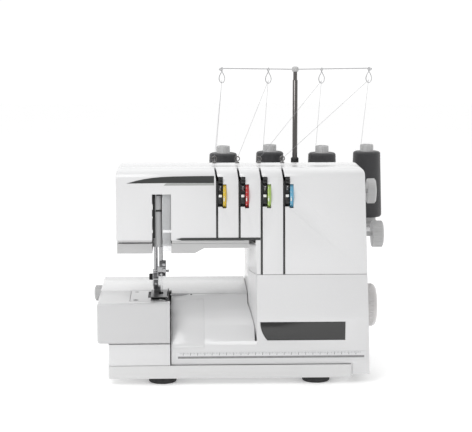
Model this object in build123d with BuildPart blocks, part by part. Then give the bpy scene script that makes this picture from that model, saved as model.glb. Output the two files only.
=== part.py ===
"""Serger overlock machine: a free-standing four-thread machine with a telescopic thread stand.

Frame: +X to the operator's right, +Y to the back, +Z up, millimetres. The origin is on the table, under
the middle of the machine. The front faces -Y. Every sub-part is written to parts/NAME.step.
"""

import os

from build123d import *

os.makedirs("parts", exist_ok=True)

# ---------------------------------------------------------------- driving dimensions
WALL = 3.0                      # moulded wall
GAP = 0.5                       # gap between fixed mouldings that meet
MOVE_GAP = 1.0                  # gap round a moulding that moves
PIN_FIT = 0.05                  # radial running clearance of a shaft in its bush

# heights above the table
TRAY_Z = 9.5                    # underside of the base tray
SKIRT_Z = 27.5                  # top of the base tray's wall
NOSE_Z = 59.0                   # underside of the free arm's nose
RAMP_Z = 55.0                   # lower edge of the looper cover's ramp
RAMP_MID = Vector(-98.0, 91.0)  # a point halfway up the ramp, Y and Z
BED_Z = 116.0                   # sewing surface
SEAM_Z = 153.0                  # seam between upper casing and looper cover
HEAD_Z = 182.5                  # underside of the head
ARM_Z = 189.5                   # underside of the arm
PANEL_Z = 200.5                 # lower edge of the arm's white front panel
TOP_Z = 299.0                   # top of the casing

LOWER_Z = SKIRT_Z + 0.5         # lower edge of the housing
RIGHT_LOW_Z = 13.0              # lower edge of the housing right of the base tray

# widths
BED_X = -205.0                  # left end of the bed
BASE_X = -190.0                 # left wall of the base
HEAD_X = -178.0                 # left end of the head
NOSE_X = -104.6                 # right side of the free arm's nose
COLUMN_X = 5.5                  # left wall of the column
FACET_X = 15.7                  # front left corner of the column
BASE_RIGHT_X = 173.5            # right wall at the base
SEAM_X = 169.0                  # right wall at the seam
TOP_X = 165.0                   # right wall at the top
TRAY_X = 148.0                  # right end of the base tray

# depths
NOSE_Y = -132.0                 # front of the free arm's nose
BASE_Y = -130.0                 # front of the base tray
COVER_Y = -126.0                # front of the looper cover, low down
LEAN_Z = 95.0                   # height where the looper cover starts to lean back
COVER_SEAM_Y = -119.0           # front of the looper cover at the seam
ARM_TOP_Y = -108.0              # front of the arm just under its shoulder
FACET_Y = -80.0                 # back end of the column's front facet
COVER_BACK_Y = -58.0            # back edge of the looper cover
SPLIT_Y = -64.0                 # seam between front and rear casing
ARM_BACK_Y = -12.0              # back of the arm
COLUMN_BACK_Y = 58.0            # back of the column
BASE_BACK_Y = 78.0              # back of the base
BED_Y = -36.0                   # front edge of the fixed bed

SHOULDER_R = 15.0               # rounding along the casing's long top edges
CORNER_R = 8.0                  # rounding of its top right corner
EDGE_R = 4.0                    # rounding of upright corners

# needle and presser bars
BAR_R = 2.75
NEEDLE_X, NEEDLE_Y = -117.4, -68.0
PRESSER_X, PRESSER_Y = -124.8, -58.0
NEEDLE_PITCH = 2.8
NEEDLE_R = 0.45
PLATE_X0, PLATE_X1 = -160.0, -111.0
PLATE_Y0, PLATE_Y1 = -115.0, -38.0
PLATE_T = 2.0
WINDOW_X0, WINDOW_X1 = -128.5, -102.5
WINDOW_TOP_Z = 264.0
LIFTER_Y, LIFTER_Z = -8.0, 224.0
LIFTER_PIN_R = 2.5
KNIFE_X = -107.8                # left face of the upper knife
KNIFE_T = 1.6

LOWER_PIVOT = (-80.0, 58.0)      # axis of the lower looper, X and Z
UPPER_PIVOT = (-74.0, 80.0)      # axis of the upper looper
PIVOT_R = 2.5

# thread tension units
SLOT_X = [-39.0, -8.0, 22.5, 53.5]
SLOT_W = 3.0
SLOT_Z = [PANEL_Z, PANEL_Z, SEAM_Z, SEAM_Z]
SLOT_BEND = 3.0                 # how far a slot leans to the left over the shoulder
SLOT_BEND_Z = TOP_Z - SHOULDER_R
SLOT_BACK_Y = -92.0
DIAL_R, DIAL_T, DIAL_Z = 20.0, 4.5, 261.0
DIAL_PROUD = 4.0
UNIT_W = 6.0
UNIT_Z0, UNIT_Z1 = 247.0, 287.0

# hinge of the looper cover
HINGE_R = 1.5
KNUCKLE_R = 3.0
HINGE_Y = COVER_Y + WALL + KNUCKLE_R + 0.3
HINGE_Z = SKIRT_Z + GAP + KNUCKLE_R + 0.2
DOOR_BACK_Y = HINGE_Y + 6.7     # back end of the looper cover's side flange
HINGE_X = [-70.0, 105.0]

# shafts, wheels and side dials
SHAFT_R = 4.0
SHAFT_Y, SHAFT_Z = -26.0, 91.0
BUSH_R = 9.0
WHEEL_R, WHEEL_T = 31.0, 20.0
MOTOR_Y, MOTOR_Z = 34.0, 62.0
MOTOR_R, MOTOR_L = 25.0, 78.0
MOTOR_PULLEY_R, MAIN_PULLEY_R = 7.0, 24.0
BELT_X, BELT_W = 140.0, 6.0
VENT_X = 93.0                   # middle of the vents behind the motor
WIDTH_DIAL_R, WIDTH_DIAL_Z = 17.8, 259.0
FEED_DIAL_R, FEED_DIAL_Z = 19.0, 197.0
SIDE_DIAL_Y = -38.0
CUT_DIAL_R, CUT_DIAL_Y, CUT_DIAL_Z = 11.5, 20.0, 102.0

# thread stand
POLE_X, STAND_Y = 83.0, 93.0
SPOOL_X = [-25.5, 45.7, 123.2, 193.2]
SPOOL_Y = [83.0, 103.0, 83.0, 103.0]
CONE_LOW_R, CONE_HIGH_R = 23.7, 20.6
END_X = SPOOL_X[3] + CONE_LOW_R  # half of the overall width
STAND_Z, STAND_T = 184.0, 6.0
STAND_X0, STAND_X1 = -44.0, 212.0
STAND_Y0, STAND_Y1 = 61.0, -NOSE_Y
PIN_R = 3.0
HOLDER_R, HOLDER_Z = 15.0, 203.0
CONE_Z = 302.5
CORE_R, CORE_WALL, CORE_Z = 10.0, 1.5, 313.0
TUBE_R, TUBE_Z = 4.8, 290.0
POLE_R, POLE_Z = 3.8, 411.0
NECK_R = 3.0
GUIDE_BAR_Z = 427.0
WIRE_R = 0.9
GUIDE_X = [-27.3, 42.4, 122.4, 192.4]
SWEEP_Y = 12.0                  # how far the guide bar's ends come forward
EYE_DROP = 22.0                 # height of one wire eye
TOP_GUIDE_X = [-41.0, -8.4, 22.7, 56.0]
TOP_GUIDE_Y = -20.0
THREAD_R = 0.2


# ---------------------------------------------------------------- helpers
def save(builder, name):
    """Label a finished sub-part and write its STEP file."""
    builder.part.label = name
    export_step(builder.part, f"parts/{name}.step")


def block(x, y, z, mode=Mode.ADD):
    """Box between the low and high value of each axis."""
    with Locations(((x[0] + x[1]) / 2, (y[0] + y[1]) / 2, (z[0] + z[1]) / 2)):
        Box(x[1] - x[0], y[1] - y[0], z[1] - z[0], mode=mode)


def rod(start, direction, radius, length, mode=Mode.ADD):
    """Cylinder from a start point along a direction."""
    with Locations(Plane(origin=start, z_dir=direction)):
        Cylinder(radius, length, align=(Align.CENTER, Align.CENTER, Align.MIN), mode=mode)


def knurl(start, direction, radius, length, count, depth):
    """Ring of round grooves cut along a cylinder's side."""
    with Locations(Plane(origin=start, z_dir=direction)):
        with PolarLocations(radius, count):
            Cylinder(depth, length, align=(Align.CENTER, Align.CENTER, Align.MIN), mode=Mode.SUBTRACT)


def face_y(z):
    """Front of the upper casing at a height."""
    return COVER_SEAM_Y + (ARM_TOP_Y - COVER_SEAM_Y) * (z - SEAM_Z) / (TOP_Z - SHOULDER_R - SEAM_Z)


def right_x(z):
    """Right wall of the upper casing at a height."""
    return SEAM_X + (TOP_X - SEAM_X) * (z - SEAM_Z) / (TOP_Z - SEAM_Z)


def trim_right(inset):
    """Cut the current part back to the slanted right wall, set in by a wall."""
    with BuildSketch(Plane.XZ.offset(-2 * BASE_BACK_Y)) as wedge:
        with BuildLine():
            Polyline(
                (BED_X - 1, 0),
                (BED_X - 1, TOP_Z),
                (right_x(TOP_Z) - inset, TOP_Z),
                (right_x(0) - inset, 0),
                close=True,
            )
        make_face()
    extrude(wedge.sketch, amount=4 * BASE_BACK_Y, mode=Mode.INTERSECT)


def casing(inset, reach):
    """Arm and column as one body, set in by a wall; reach opens the inner body downwards."""
    with BuildPart() as body:
        with BuildSketch(Plane.XZ.offset(-ARM_BACK_Y + inset)) as outline:
            with BuildLine():
                Polyline(
                    (HEAD_X + inset, PANEL_Z - reach),
                    (HEAD_X + inset, TOP_Z - inset),
                    (right_x(TOP_Z) - inset, TOP_Z - inset),
                    (SEAM_X - inset, SEAM_Z - reach),
                    (FACET_X + inset, SEAM_Z - reach),
                    (FACET_X + inset, PANEL_Z - reach),
                    close=True,
                )
            make_face()
            fillet(outline.vertices().group_by(Axis.Y)[-1], CORNER_R - inset)
        extrude(amount=-NOSE_Y + ARM_BACK_Y)
        with BuildSketch(Plane.XY.offset(SEAM_Z - reach)):
            with BuildLine():
                Polyline(
                    (FACET_X + inset, NOSE_Y),
                    (FACET_X + inset, COVER_SEAM_Y),
                    (COLUMN_X + inset, FACET_Y),
                    (COLUMN_X + inset, ARM_BACK_Y - inset),
                    (FACET_X + WALL + inset, ARM_BACK_Y - inset),
                    (FACET_X + WALL + inset, NOSE_Y),
                    close=True,
                )
            make_face()
        extrude(amount=PANEL_Z - SEAM_Z + WALL)
        with BuildSketch(Plane.YZ.offset(HEAD_X - 1)) as profile:
            with BuildLine():
                Polyline(
                    (COVER_SEAM_Y + inset, SEAM_Z - WALL - 1),
                    (face_y(TOP_Z) + inset, TOP_Z - inset),
                    (ARM_BACK_Y - inset, TOP_Z - inset),
                    (ARM_BACK_Y - inset, SEAM_Z - WALL - 1),
                    close=True,
                )
            make_face()
            fillet(profile.vertices().group_by(Axis.Y)[-1], SHOULDER_R - inset)
        extrude(amount=SEAM_X - HEAD_X + 2, mode=Mode.INTERSECT)
    return body.part


def facet_x(y):
    """Left face of the column at a depth."""
    return COLUMN_X + (FACET_X - COLUMN_X) * (FACET_Y - y) / (FACET_Y - COVER_SEAM_Y)


def front_slab(inset, left_x):
    """Keep what lies behind the leaning front of the looper cover, set in by a wall."""
    with BuildSketch(Plane.YZ.offset(left_x)) as slab:
        with BuildLine():
            Polyline(
                (COVER_Y + inset, 0),
                (COVER_Y + inset, LEAN_Z),
                (COVER_SEAM_Y + inset, SEAM_Z),
                (COVER_BACK_Y + MOVE_GAP, SEAM_Z),
                (COVER_BACK_Y + MOVE_GAP, 0),
                close=True,
            )
        make_face()
    extrude(slab.sketch, amount=2 * END_X, mode=Mode.INTERSECT)


def looper_body(inset, low_z):
    """Lower front of the machine as one body: ramp on the left, front of the column on the right."""
    with BuildPart() as body:
        with BuildSketch(Plane.YZ.offset(NOSE_X + GAP + MOVE_GAP - inset)):
            with BuildLine():
                low = Line((COVER_BACK_Y, low_z), (COVER_Y + inset, low_z))
                front = Line(low @ 1, (COVER_Y + inset, RAMP_Z - inset))
                ramp = ThreePointArc(front @ 1, RAMP_MID + Vector(inset, -inset), (COVER_BACK_Y, BED_Z - 1 - inset))
                Line(ramp @ 1, low @ 0)
            make_face()
        extrude(amount=FACET_X + WALL + inset - NOSE_X)
        if not inset:
            with BuildSketch(Plane.XY.offset(low_z)):
                with BuildLine():
                    Polyline(
                        (BED_X, NOSE_Y),
                        (FACET_X + WALL, NOSE_Y),
                        (FACET_X + WALL, COVER_Y + WALL),
                        (facet_x(COVER_Y + WALL) - MOVE_GAP, COVER_Y + WALL),
                        (COLUMN_X - MOVE_GAP, FACET_Y),
                        (COLUMN_X - MOVE_GAP, COVER_BACK_Y),
                        (BED_X, COVER_BACK_Y),
                        close=True,
                    )
                make_face()
            extrude(amount=BED_Z, mode=Mode.INTERSECT)
        with BuildSketch(Plane.XY.offset(low_z)):
            with Locations(((FACET_X + BASE_RIGHT_X) / 2 - inset, (COVER_Y + DOOR_BACK_Y) / 2 + inset)):
                Rectangle(BASE_RIGHT_X - FACET_X, DOOR_BACK_Y - COVER_Y)
        extrude(amount=SEAM_Z - GAP - low_z - inset)
        front_slab(inset, BED_X)
        trim_right(inset)
    return body.part


def cheeks():
    """Walls beside the looper cover: the column's facet on the left and the right wall."""
    low_z = LOWER_Z + MOVE_GAP
    back_y = COVER_BACK_Y + MOVE_GAP - GAP
    front_y = COVER_Y + WALL + GAP + MOVE_GAP
    with BuildPart() as walls:
        with BuildSketch(Plane.XY.offset(low_z)):
            with BuildLine():
                Polyline(
                    (COLUMN_X, back_y),
                    (COLUMN_X, FACET_Y),
                    (facet_x(front_y), front_y),
                    (facet_x(front_y) + WALL, front_y),
                    (COLUMN_X + WALL, FACET_Y),
                    (COLUMN_X + WALL, back_y),
                    close=True,
                )
            make_face()
            with Locations((BASE_RIGHT_X - WALL, (DOOR_BACK_Y + MOVE_GAP + back_y) / 2)):
                Rectangle(2 * WALL, back_y - DOOR_BACK_Y - MOVE_GAP)
        extrude(amount=SEAM_Z - GAP - low_z)
        front_slab(WALL + GAP + MOVE_GAP, BED_X)
        with BuildSketch(Plane.XY.offset(BED_Z - WALL)):
            with Locations((COLUMN_X + WALL / 2, COVER_BACK_Y)):
                Rectangle(WALL, 4 * WALL)
            with Locations((BASE_RIGHT_X - WALL, COVER_BACK_Y)):
                Rectangle(2 * WALL, 4 * WALL)
        extrude(amount=SEAM_Z - GAP - BED_Z + WALL)
        trim_right(0)
    return walls.part


# ---------------------------------------------------------------- base
with BuildPart() as base_tray:
    with BuildSketch(Plane.XY.offset(TRAY_Z)):
        with Locations(((BASE_X + TRAY_X) / 2, (BASE_Y + BASE_BACK_Y) / 2)):
            RectangleRounded(TRAY_X - BASE_X, BASE_BACK_Y - BASE_Y, EDGE_R)
    extrude(amount=SKIRT_Z - TRAY_Z)
    block(
        (BASE_X + WALL, TRAY_X - WALL), (BASE_Y + WALL, BASE_BACK_Y - WALL), (TRAY_Z + WALL, SKIRT_Z),
        Mode.SUBTRACT,
    )
    block((TRAY_X - 2 * WALL, TRAY_X + 1), (BASE_Y + WALL, HINGE_Y + WALL), (SKIRT_Z - 4.5, SKIRT_Z + 1), Mode.SUBTRACT)
    for x in HINGE_X:
        rod((x, HINGE_Y, HINGE_Z), (1, 0, 0), KNUCKLE_R, 5.0)
        block((x, x + 5), (HINGE_Y, HINGE_Y + 8), (HINGE_Z - 2.5, HINGE_Z + 2.5))
        block((x, x + 5), (HINGE_Y + 4, HINGE_Y + 8), (TRAY_Z + 1, HINGE_Z + 2.5))
        rod((x + 2, HINGE_Y, HINGE_Z), (1, 0, 0), HINGE_R, 14.0)
save(base_tray, "base_tray")

FOOT_R = 19.5
FEET = [(-115.5, -105.0), (99.5, -105.0), (-150.0, 52.0), (118.0, 52.0)]
with BuildPart() as rubber_feet:
    with BuildSketch() as foot_print:
        with Locations(*FEET):
            Circle(FOOT_R)
    extrude(amount=TRAY_Z, taper=4)
    fillet(rubber_feet.edges().group_by(Axis.Z)[0], 2.0)
save(rubber_feet, "rubber_feet")

with BuildPart() as lower_housing:
    block((BASE_X, BASE_RIGHT_X), (COVER_BACK_Y + MOVE_GAP, BASE_BACK_Y), (LOWER_Z, BED_Z - WALL - GAP))
    block((TRAY_X + GAP, BASE_RIGHT_X), (COVER_BACK_Y + MOVE_GAP, BASE_BACK_Y), (RIGHT_LOW_Z, LOWER_Z))
    upright = lower_housing.edges().filter_by(Axis.Z).group_by(Axis.Y)[-1]
    fillet(upright, EDGE_R)
    trim_right(0)
    block((BASE_X + WALL, BASE_RIGHT_X - 2 * WALL), (COVER_BACK_Y, BASE_BACK_Y - WALL),
          (LOWER_Z, BED_Z - WALL), Mode.SUBTRACT)
    block((TRAY_X + GAP + WALL, BASE_RIGHT_X - 2 * WALL), (COVER_BACK_Y, BASE_BACK_Y - WALL),
          (RIGHT_LOW_Z + WALL, LOWER_Z + 1), Mode.SUBTRACT)
    rod((BASE_RIGHT_X - 12, SHAFT_Y, SHAFT_Z), (1, 0, 0), SHAFT_R + MOVE_GAP, 20, Mode.SUBTRACT)
    rod((BASE_X - 1, CUT_DIAL_Y, CUT_DIAL_Z), (1, 0, 0), 3.5, WALL + 2, Mode.SUBTRACT)
    block((BASE_X - 1, BASE_X + WALL + 1), (CUT_DIAL_Y - 3.5, CUT_DIAL_Y + 3.5), (CUT_DIAL_Z, BED_Z),
          Mode.SUBTRACT)
    block((BASE_RIGHT_X - 12, BASE_RIGHT_X + 1), (24.0, 66.0), (36.0, 60.0), Mode.SUBTRACT)
    with BuildSketch(Plane.XZ.offset(-BASE_BACK_Y - 1)):
        with Locations((VENT_X, MOTOR_Z + 4)):
            with GridLocations(7.0, 1.0, 9, 1):
                SlotOverall(36.0, 2.8, rotation=90)
    extrude(amount=WALL + 2, mode=Mode.SUBTRACT)
save(lower_housing, "lower_housing")

with BuildPart() as front_sill:
    block((BASE_X, NOSE_X), (BASE_Y, COVER_BACK_Y + MOVE_GAP - GAP), (LOWER_Z, NOSE_Z - MOVE_GAP))
    fillet(front_sill.edges().filter_by(Axis.Z).group_by(Axis.Y)[0].sort_by(Axis.X)[0], EDGE_R)
    block((BASE_X + WALL, NOSE_X - WALL), (BASE_Y + WALL, COVER_BACK_Y), (LOWER_Z, NOSE_Z - WALL - MOVE_GAP),
          Mode.SUBTRACT)
save(front_sill, "front_sill")

# ---------------------------------------------------------------- bed
with BuildPart() as bed_cover:
    block((NOSE_X + 1.5, COLUMN_X - GAP), (COVER_BACK_Y + MOVE_GAP, BED_Y), (BED_Z - WALL, BED_Z))
    block((BED_X, COLUMN_X - GAP), (BED_Y, BASE_BACK_Y - 4), (BED_Z - WALL, BED_Z))
    block((BED_X, BED_X + WALL), (BED_Y, BASE_BACK_Y - 4), (BED_Z - 26, BED_Z - WALL))
    block((BED_X, BASE_X - GAP), (BASE_BACK_Y - 4 - WALL, BASE_BACK_Y - 4), (BED_Z - 26, BED_Z - WALL))
    fillet(bed_cover.edges().filter_by(Axis.Y).group_by(Axis.Z)[-1].sort_by(Axis.X)[0], 2.0)
    rod((BED_X - 1, CUT_DIAL_Y, CUT_DIAL_Z), (1, 0, 0), 3.5, WALL + 2, Mode.SUBTRACT)
save(bed_cover, "bed_cover")

with BuildPart() as freearm_cover:
    with BuildSketch(Plane.YZ.offset(BED_X)):
        with Locations(((NOSE_Y + BED_Y - MOVE_GAP) / 2, (NOSE_Z + BED_Z) / 2)):
            Rectangle(BED_Y - MOVE_GAP - NOSE_Y, BED_Z - NOSE_Z)
    extrude(amount=NOSE_X - BED_X)
    nose_edges = freearm_cover.edges().filter_by(Axis.X).group_by(Axis.Y)[0]
    fillet(nose_edges, EDGE_R)
    fillet(freearm_cover.edges().filter_by(Axis.Z).group_by(Axis.Y)[0].sort_by(Axis.X)[0], EDGE_R)
    block((BED_X + WALL, NOSE_X + 1), (NOSE_Y + WALL, BED_Y), (NOSE_Z + WALL, BED_Z - WALL), Mode.SUBTRACT)
    block((PLATE_X0 - GAP, NOSE_X + 1), (PLATE_Y0 - GAP, BED_Y), (BED_Z - WALL - 1, BED_Z + 1), Mode.SUBTRACT)
    block((BED_X + WALL, NOSE_X + 1), (COVER_BACK_Y, BED_Y), (NOSE_Z - 1, NOSE_Z + WALL + 1), Mode.SUBTRACT)
    block((BASE_X - MOVE_GAP, NOSE_X + 1), (COVER_BACK_Y, BED_Y), (NOSE_Z - 1, BED_Z - WALL - 1), Mode.SUBTRACT)
save(freearm_cover, "freearm_cover")

with BuildPart() as needle_plate:
    block((PLATE_X0, PLATE_X1), (PLATE_Y0, PLATE_Y1), (BED_Z - PLATE_T, BED_Z))
    fillet(needle_plate.edges().filter_by(Axis.Z).group_by(Axis.X)[0], 3.0)
    with BuildSketch(Plane.XY.offset(BED_Z)):
        with Locations((-133.0, -68.0), (-124.5, -68.0)):
            SlotOverall(46.0, 5.0, rotation=90)
        with Locations((NEEDLE_X, NEEDLE_Y)):
            SlotOverall(7.6, 3.2)
    extrude(amount=-PLATE_T, mode=Mode.SUBTRACT)
    with Locations((-152.0, -106.0, BED_Z), (-152.0, -48.0, BED_Z), (-118.0, -106.0, BED_Z)):
        CounterSinkHole(2.05, 3.4)
save(needle_plate, "needle_plate")

with BuildPart() as plate_screws:
    for x, y in ((-152.0, -106.0), (-152.0, -48.0), (-118.0, -106.0)):
        with BuildSketch(Plane.XZ.offset(-y)):
            with BuildLine():
                Polyline((x, BED_Z - 0.3), (x + 2.9, BED_Z - 0.3), (x + 1.9, BED_Z - 1.7), (x + 1.9, 108.5), (x, 108.5),
                         close=True)
            make_face()
        revolve(axis=Axis((x, y, 0), (0, 0, 1)))
        with BuildSketch(Plane.XY.offset(BED_Z - 0.3)):
            with Locations((x, y)):
                Rectangle(4.6, 0.7, rotation=35)
        extrude(amount=-0.7, mode=Mode.SUBTRACT)
save(plate_screws, "plate_screws")

# ---------------------------------------------------------------- cast frame
with BuildPart() as machine_frame:
    block((-182.0, 160.0), (-48.0, 8.0), (34.0, 40.0))
    block((PLATE_X0, NOSE_X - 1), (-110.0, -47.0), (64.0, 69.0))
    block((PLATE_X0, PLATE_X0 + 5), (-110.0, -42.0), (69.0, BED_Z - PLATE_T))
    block((PLATE_X0, -112.0), (-44.0, -39.0), (40.0, BED_Z - PLATE_T))
    block((PLATE_X0, NOSE_X - 1), (-110.0, -104.0), (69.0, BED_Z - PLATE_T))
    block((-100.0, -94.0), (-47.5, 8.0), (40.0, BED_Z - WALL - GAP))
    block((128.0, 134.0), (-47.5, 8.0), (40.0, BED_Z))
    block((74.0, 100.0), (-44.0, -20.0), (40.0, 272.0))
    block((-140.0, 100.0), (-44.0, -26.0), (268.0, 284.0))
    block((-140.0, -106.0), (-76.0, -44.0), (270.0, 282.0))
    block((-140.0, -112.0), (-76.0, -44.0), (214.0, 222.0))
    block((-140.0, -133.0), (-76.0, -44.0), (222.0, 270.0))
    block((-140.0, -134.0), (-45.0, LIFTER_Y + 4), (LIFTER_Z - 5, LIFTER_Z + 5))
    rod((-135.0, LIFTER_Y, LIFTER_Z), (1, 0, 0), LIFTER_PIN_R, 20.0)
    block((-96.0, -64.0), (-52.0, -46.0), (40.0, 92.0))
    for pivot_x, pivot_z in (LOWER_PIVOT, UPPER_PIVOT):
        rod((pivot_x, -51.0, pivot_z), (0, -1, 0), PIVOT_R, 26.0)
    rod((-102.0, SHAFT_Y, SHAFT_Z), (1, 0, 0), BUSH_R, 10.0)
    rod((126.0, SHAFT_Y, SHAFT_Z), (1, 0, 0), BUSH_R, 10.0)
    rod((-110.0, SHAFT_Y, SHAFT_Z), (1, 0, 0), SHAFT_R + PIN_FIT, 26.0, Mode.SUBTRACT)
    rod((60.0, SHAFT_Y, SHAFT_Z), (1, 0, 0), SHAFT_R + PIN_FIT, 90.0, Mode.SUBTRACT)
    block((72.0, 102.0), (SHAFT_Y - 6, SHAFT_Y + 6), (SHAFT_Z - 6, SHAFT_Z + 6), Mode.SUBTRACT)
    rod((NEEDLE_X, NEEDLE_Y, 200.0), (0, 0, 1), BAR_R + PIN_FIT, 100.0, Mode.SUBTRACT)
    rod((PRESSER_X, PRESSER_Y, 200.0), (0, 0, 1), BAR_R + PIN_FIT, 100.0, Mode.SUBTRACT)
    for x, y in ((-152.0, -106.0), (-152.0, -48.0), (-118.0, -106.0)):
        rod((x, y, 100.0), (0, 0, 1), 1.9, 20.0, Mode.SUBTRACT)
save(machine_frame, "machine_frame")

# ---------------------------------------------------------------- upper casing
outer = casing(0, 0)
inner = casing(WALL, WALL + 1)
with BuildPart() as upper_casing_front:
    add(outer)
    add(inner, mode=Mode.SUBTRACT)
    block((HEAD_X - 1, BASE_RIGHT_X), (SPLIT_Y, 0), (SEAM_Z - 10, TOP_Z + 1), Mode.SUBTRACT)
    for slot_x, low_z in zip(SLOT_X, SLOT_Z):
        block((slot_x - SLOT_W / 2, slot_x + SLOT_W / 2), (NOSE_Y, SLOT_BACK_Y), (low_z - 1, SLOT_BEND_Z), Mode.SUBTRACT)
        with BuildSketch(Plane.XZ.offset(-SLOT_BACK_Y)):
            with BuildLine():
                Polyline(
                    (slot_x - SLOT_W / 2, SLOT_BEND_Z - 0.1),
                    (slot_x + SLOT_W / 2, SLOT_BEND_Z - 0.1),
                    (slot_x + SLOT_W / 2 - SLOT_BEND, TOP_Z + 1),
                    (slot_x - SLOT_W / 2 + 0.6 - SLOT_BEND, TOP_Z + 1),
                    close=True,
                )
            make_face()
        extrude(amount=SLOT_BACK_Y - NOSE_Y, mode=Mode.SUBTRACT)
        block((slot_x, slot_x + SLOT_W / 2 + UNIT_W + GAP), (NOSE_Y, -90.0),
              (UNIT_Z0 - GAP, UNIT_Z1 + GAP), Mode.SUBTRACT)
        dial_x = slot_x + SLOT_W / 2 + UNIT_W + GAP
        block((dial_x - GAP, dial_x + DIAL_T + GAP), (NOSE_Y, -90.0), (DIAL_Z - 16.5, DIAL_Z + 16.5), Mode.SUBTRACT)
    block((WINDOW_X0, WINDOW_X1), (NOSE_Y, -80.0), (PANEL_Z - 1, WINDOW_TOP_Z), Mode.SUBTRACT)
save(upper_casing_front, "upper_casing_front")

with BuildPart() as upper_casing_rear:
    add(outer)
    add(inner, mode=Mode.SUBTRACT)
    block((HEAD_X - 1, BASE_RIGHT_X), (NOSE_Y, SPLIT_Y + GAP), (SEAM_Z - 10, TOP_Z + 1), Mode.SUBTRACT)
    for z, y in ((WIDTH_DIAL_Z, SIDE_DIAL_Y), (FEED_DIAL_Z, SIDE_DIAL_Y)):
        rod((TOP_X - 8, y, z), (1, 0, 0), SHAFT_R + MOVE_GAP, 20, Mode.SUBTRACT)
    block((-142.0, -116.0), (ARM_BACK_Y - WALL - 1, ARM_BACK_Y + 1), (LIFTER_Z - 14, LIFTER_Z + 14), Mode.SUBTRACT)
save(upper_casing_rear, "upper_casing_rear")

UNDER_Z = 196.4
BEND_X0, BEND_X1 = -70.0, -57.0


def underarm_body(inset):
    """Grey tray that closes the arm and the head from below."""
    top = UNDER_Z + (inset > 0)
    with BuildPart() as body:
        with BuildSketch(Plane.XZ.offset(-ARM_BACK_Y + WALL + inset)):
            with BuildLine():
                Polyline(
                    (HEAD_X + 1 + inset, top),
                    (HEAD_X + 1 + inset, HEAD_Z + inset),
                    (BEND_X0, HEAD_Z + inset),
                    (BEND_X1, ARM_Z + inset),
                    (COLUMN_X - GAP - inset, ARM_Z + inset),
                    (COLUMN_X - GAP - inset, top),
                    close=True,
                )
            make_face()
        extrude(amount=-face_y(PANEL_Z) + ARM_BACK_Y - WALL - 2 - 2 * inset)
    return body.part


under_outer = underarm_body(0)
under_inner = underarm_body(WALL)
with BuildPart() as underarm_panel:
    add(under_outer)
    add(under_inner, mode=Mode.SUBTRACT)
    block((WINDOW_X0, WINDOW_X1), (NOSE_Y, -50.0), (HEAD_Z - 1, UNDER_Z + 1), Mode.SUBTRACT)
    block((-96.0, -74.0), (-98.0, -84.0), (HEAD_Z - 1, HEAD_Z + WALL + 1), Mode.SUBTRACT)
save(underarm_panel, "underarm_panel")

with BuildPart() as lamp_lens:
    block((-96.0 + GAP, -74.0 - GAP), (-98.0 + GAP, -84.0 - GAP), (HEAD_Z - 0.4, HEAD_Z + WALL))
    block((-99.0, -71.0), (-101.0, -81.0), (HEAD_Z + WALL + 0.1, HEAD_Z + WALL + 1.5))
save(lamp_lens, "lamp_lens")

with BuildPart() as arm_trim:
    block((WINDOW_X1 + 1, COLUMN_X - GAP), (face_y(PANEL_Z) + 1.2, face_y(PANEL_Z) + 5),
          (UNDER_Z + 0.2, PANEL_Z - 0.2))
save(arm_trim, "arm_trim")

# ---------------------------------------------------------------- inlays on the arm's front
INLAY_T = 0.6
INLAY_X0, INLAY_X1 = -163.0, -43.0
proud = casing(-INLAY_T, 0)
with BuildPart() as head_inlay:
    with BuildSketch(Plane.XZ.offset(90)):
        with BuildLine():
            bottom = Line((INLAY_X0, 279.2), (INLAY_X1, 279.8))
            end = Line(bottom @ 1, (INLAY_X1, 288.5))
            ThreePointArc(end @ 1, (-100.0, 285.5), bottom @ 0)
        make_face()
    extrude(amount=40)
    add(proud, mode=Mode.INTERSECT)
    add(outer, mode=Mode.SUBTRACT)
save(head_inlay, "head_inlay")

# ---------------------------------------------------------------- rear housing
REAR_Z = 245.0
REAR_LOW_Z = 186.0
with BuildPart() as rear_housing:
    with BuildSketch(Plane.YZ.offset(COLUMN_X)):
        with BuildLine():
            Polyline(
                (COVER_BACK_Y + MOVE_GAP, BED_Z - WALL),
                (COVER_BACK_Y + MOVE_GAP, SEAM_Z - GAP),
                (ARM_BACK_Y + GAP, SEAM_Z - GAP),
                (ARM_BACK_Y + GAP, REAR_Z),
                (22.0, REAR_Z),
                (COLUMN_BACK_Y, REAR_LOW_Z),
                (COLUMN_BACK_Y, BED_Z - WALL),
                close=True,
            )
        make_face()
    extrude(amount=BASE_RIGHT_X - COLUMN_X)
    trim_right(0)
    with BuildSketch(Plane.YZ.offset(COLUMN_X + WALL)):
        with BuildLine():
            Polyline(
                (COVER_BACK_Y, BED_Z - WALL),
                (COVER_BACK_Y, SEAM_Z),
                (ARM_BACK_Y + GAP + WALL, SEAM_Z),
                (ARM_BACK_Y + GAP + WALL, REAR_Z - WALL),
                (22.0 - WALL, REAR_Z - WALL),
                (COLUMN_BACK_Y - WALL, REAR_LOW_Z - WALL),
                (COLUMN_BACK_Y - WALL, BED_Z - WALL),
                close=True,
            )
        make_face()
    extrude(amount=TOP_X - COLUMN_X - 3 * WALL, mode=Mode.SUBTRACT)
    add(cheeks())
save(rear_housing, "rear_housing")

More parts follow.
